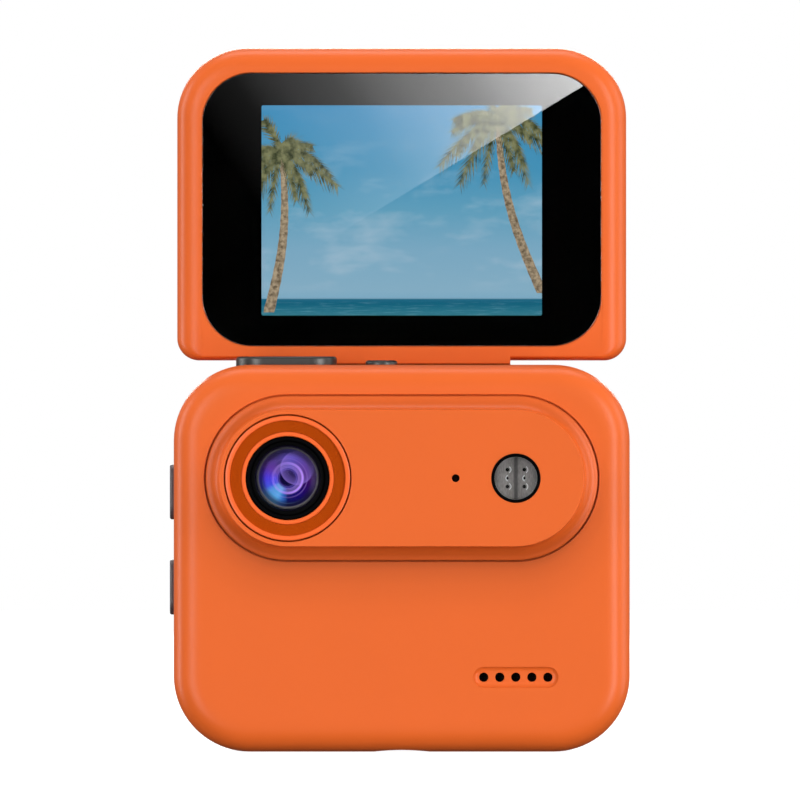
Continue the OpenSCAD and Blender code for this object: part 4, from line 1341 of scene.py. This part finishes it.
def panel(name, azimuth, elevation, distance, size, power):
    """A softbox that faces the object; azimuth 0 is in front and 90 is on its right."""
    light = bpy.data.lights.new(name, "AREA")
    light.shape = "RECTANGLE"
    light.size, light.size_y = size
    light.energy = power
    holder = add_object(name, light)
    a, e = math.radians(azimuth), math.radians(elevation)
    away = Vector((math.sin(a) * math.cos(e), -math.cos(a) * math.cos(e), math.sin(e)))
    holder.location = TARGET + away * distance
    holder.rotation_mode = "QUATERNION"
    holder.rotation_quaternion = away.to_track_quat("Z", "Y")
    holder.visible_camera = False


def flat(name, low, high, corner_at):
    """A single upright or level face between two corners; corner_at turns a corner into a point."""
    around = [(low[0], low[1]), (high[0], low[1]), (high[0], high[1]), (low[0], high[1])]
    return mesh_from(name, [corner_at(u, v) for u, v in around], [(0, 1, 2, 3)])


def make_world():
    """White to the camera; to the object, a soft sky that is dim below."""
    world = bpy.data.worlds.new("studio")
    bpy.context.scene.world = world
    g = Graph(world)
    g.tree.nodes.clear()
    height = g.math("MULTIPLY_ADD", g.split(g.add("TexCoord").outputs["Generated"])["Z"], 0.5, 0.5)
    soft = g.add("Background", Color=g.mask(height, [(0.0, 0.02), (0.45, 0.08), (0.6, 0.3), (1.0, 0.5)]))
    white = g.add("Background", Color=(1, 1, 1, 1))
    choice = g.add("MixShader", Fac=g.add("LightPath").outputs["Is Camera Ray"])
    g.feed(choice.inputs[1], soft.outputs["Background"])
    g.feed(choice.inputs[2], white.outputs["Background"])
    g.add("OutputWorld", Surface=choice.outputs["Shader"])


def make_floor():
    """A pale floor that meets the white background without a line and takes no shadow."""
    half = 3.0 / MM
    floor = flat("floor", (-half, -half), (half, half), lambda x, y: (x, y, 0))
    floor.data.materials.append(new_finish("pale_floor").paint(
        Base_Color=grey(0.3), Roughness=0.9, Specular_IOR_Level=0.0, Emission_Color=(1, 1, 1, 1),
        Emission_Strength=0.92))
    floor.visible_diffuse = False
    floor.visible_glossy = False
    floor.visible_transmission = False
    floor.visible_shadow = False


def make_reflection_card(camera):
    """A card behind the camera that the cover glass mirrors: white towards one corner, its edge slanting."""
    behind = camera.location.y / MM - 12

    def mirrored(x, z):
        """The place on the card that the camera sees in the glass at a place on the glass."""
        return 2 * x - camera.location.x / MM, 2 * z - camera.location.z / MM

    card = flat("reflection_card", mirrored(-GLASS_HALF - 12, glass_low.z - 12),
                mirrored(GLASS_HALF + 12, glass_high.z + 12), lambda x, z: (x, behind, z))
    corner = mirrored(GLASS_HALF - 2.6, glass_high.z - 1.8)
    foot = mirrored(-16.2, glass_high.z - 27.5)
    slope = (corner[1] - foot[1]) / (corner[0] - foot[0])
    fade = 118              # millimetres over which the card goes dark
    g = new_finish("card_glow")
    g.tree.nodes.clear()
    parts = g.split(g.local_mm(corner))
    edge = g.math("GREATER_THAN", g.math("SUBTRACT", parts["Z"], g.times(parts["X"], slope)), 0.0)
    fall = g.math("ADD", g.times(parts["X"], 1 / fade), g.times(parts["Z"], 0.67 / fade))
    nearness = g.math("ADD", fall, 1.0)
    level = g.mask(nearness, [(0.0, 0.0), (0.15, 0.012), (0.4, 0.1), (0.7, 0.36), (1.0, 0.92)])
    light = g.add("Emission", Strength=CARD_POWER, Color=g.mix(edge, (0, 0, 0, 1), level))
    g.add("OutputMaterial", Surface=light.outputs["Emission"])
    card.data.materials.append(g.owner)
    card.visible_camera = False
    card.visible_diffuse = False
    card.visible_shadow = False


def make_camera():
    """A long lens straight in front, as far back as its view of the body's middle plane needs."""
    data = bpy.data.cameras.new("camera")
    data.lens = 1400
    data.sensor_width = 36
    data.clip_end = 20
    camera = add_object("camera", data)
    camera.location = (-0.25 * MM, -VIEW_WIDE * MM * data.lens / data.sensor_width, 50.9 * MM)
    camera.rotation_euler = (math.pi / 2, 0, 0)
    bpy.context.scene.camera = camera
    return camera


panel("front_high_softbox", 0, 11, 2.2, (1.8, 0.52), 2.4)
panel("front_low_softbox", 0, -17, 2.2, (1.8, 0.5), 2.2)
panel("left_strip", -31, 4, 1.5, (0.5, 1.4), 12.5)
panel("right_strip", 45, 4, 1.5, (0.4, 1.4), 17)
panel("rear_left_strip", -102, 8, 1.5, (0.4, 1.4), 11)
panel("rear_right_strip", 98, 8, 1.5, (0.8, 1.4), 9)
panel("rear_top_softbox", 180, 76, 1.5, (1.2, 0.5), 9)
panel("rear_fill", 180, 20, 2.2, (1.4, 0.8), 28)
make_world()
make_floor()
make_reflection_card(make_camera())
bpy.context.scene.view_settings.view_transform = "Standard"
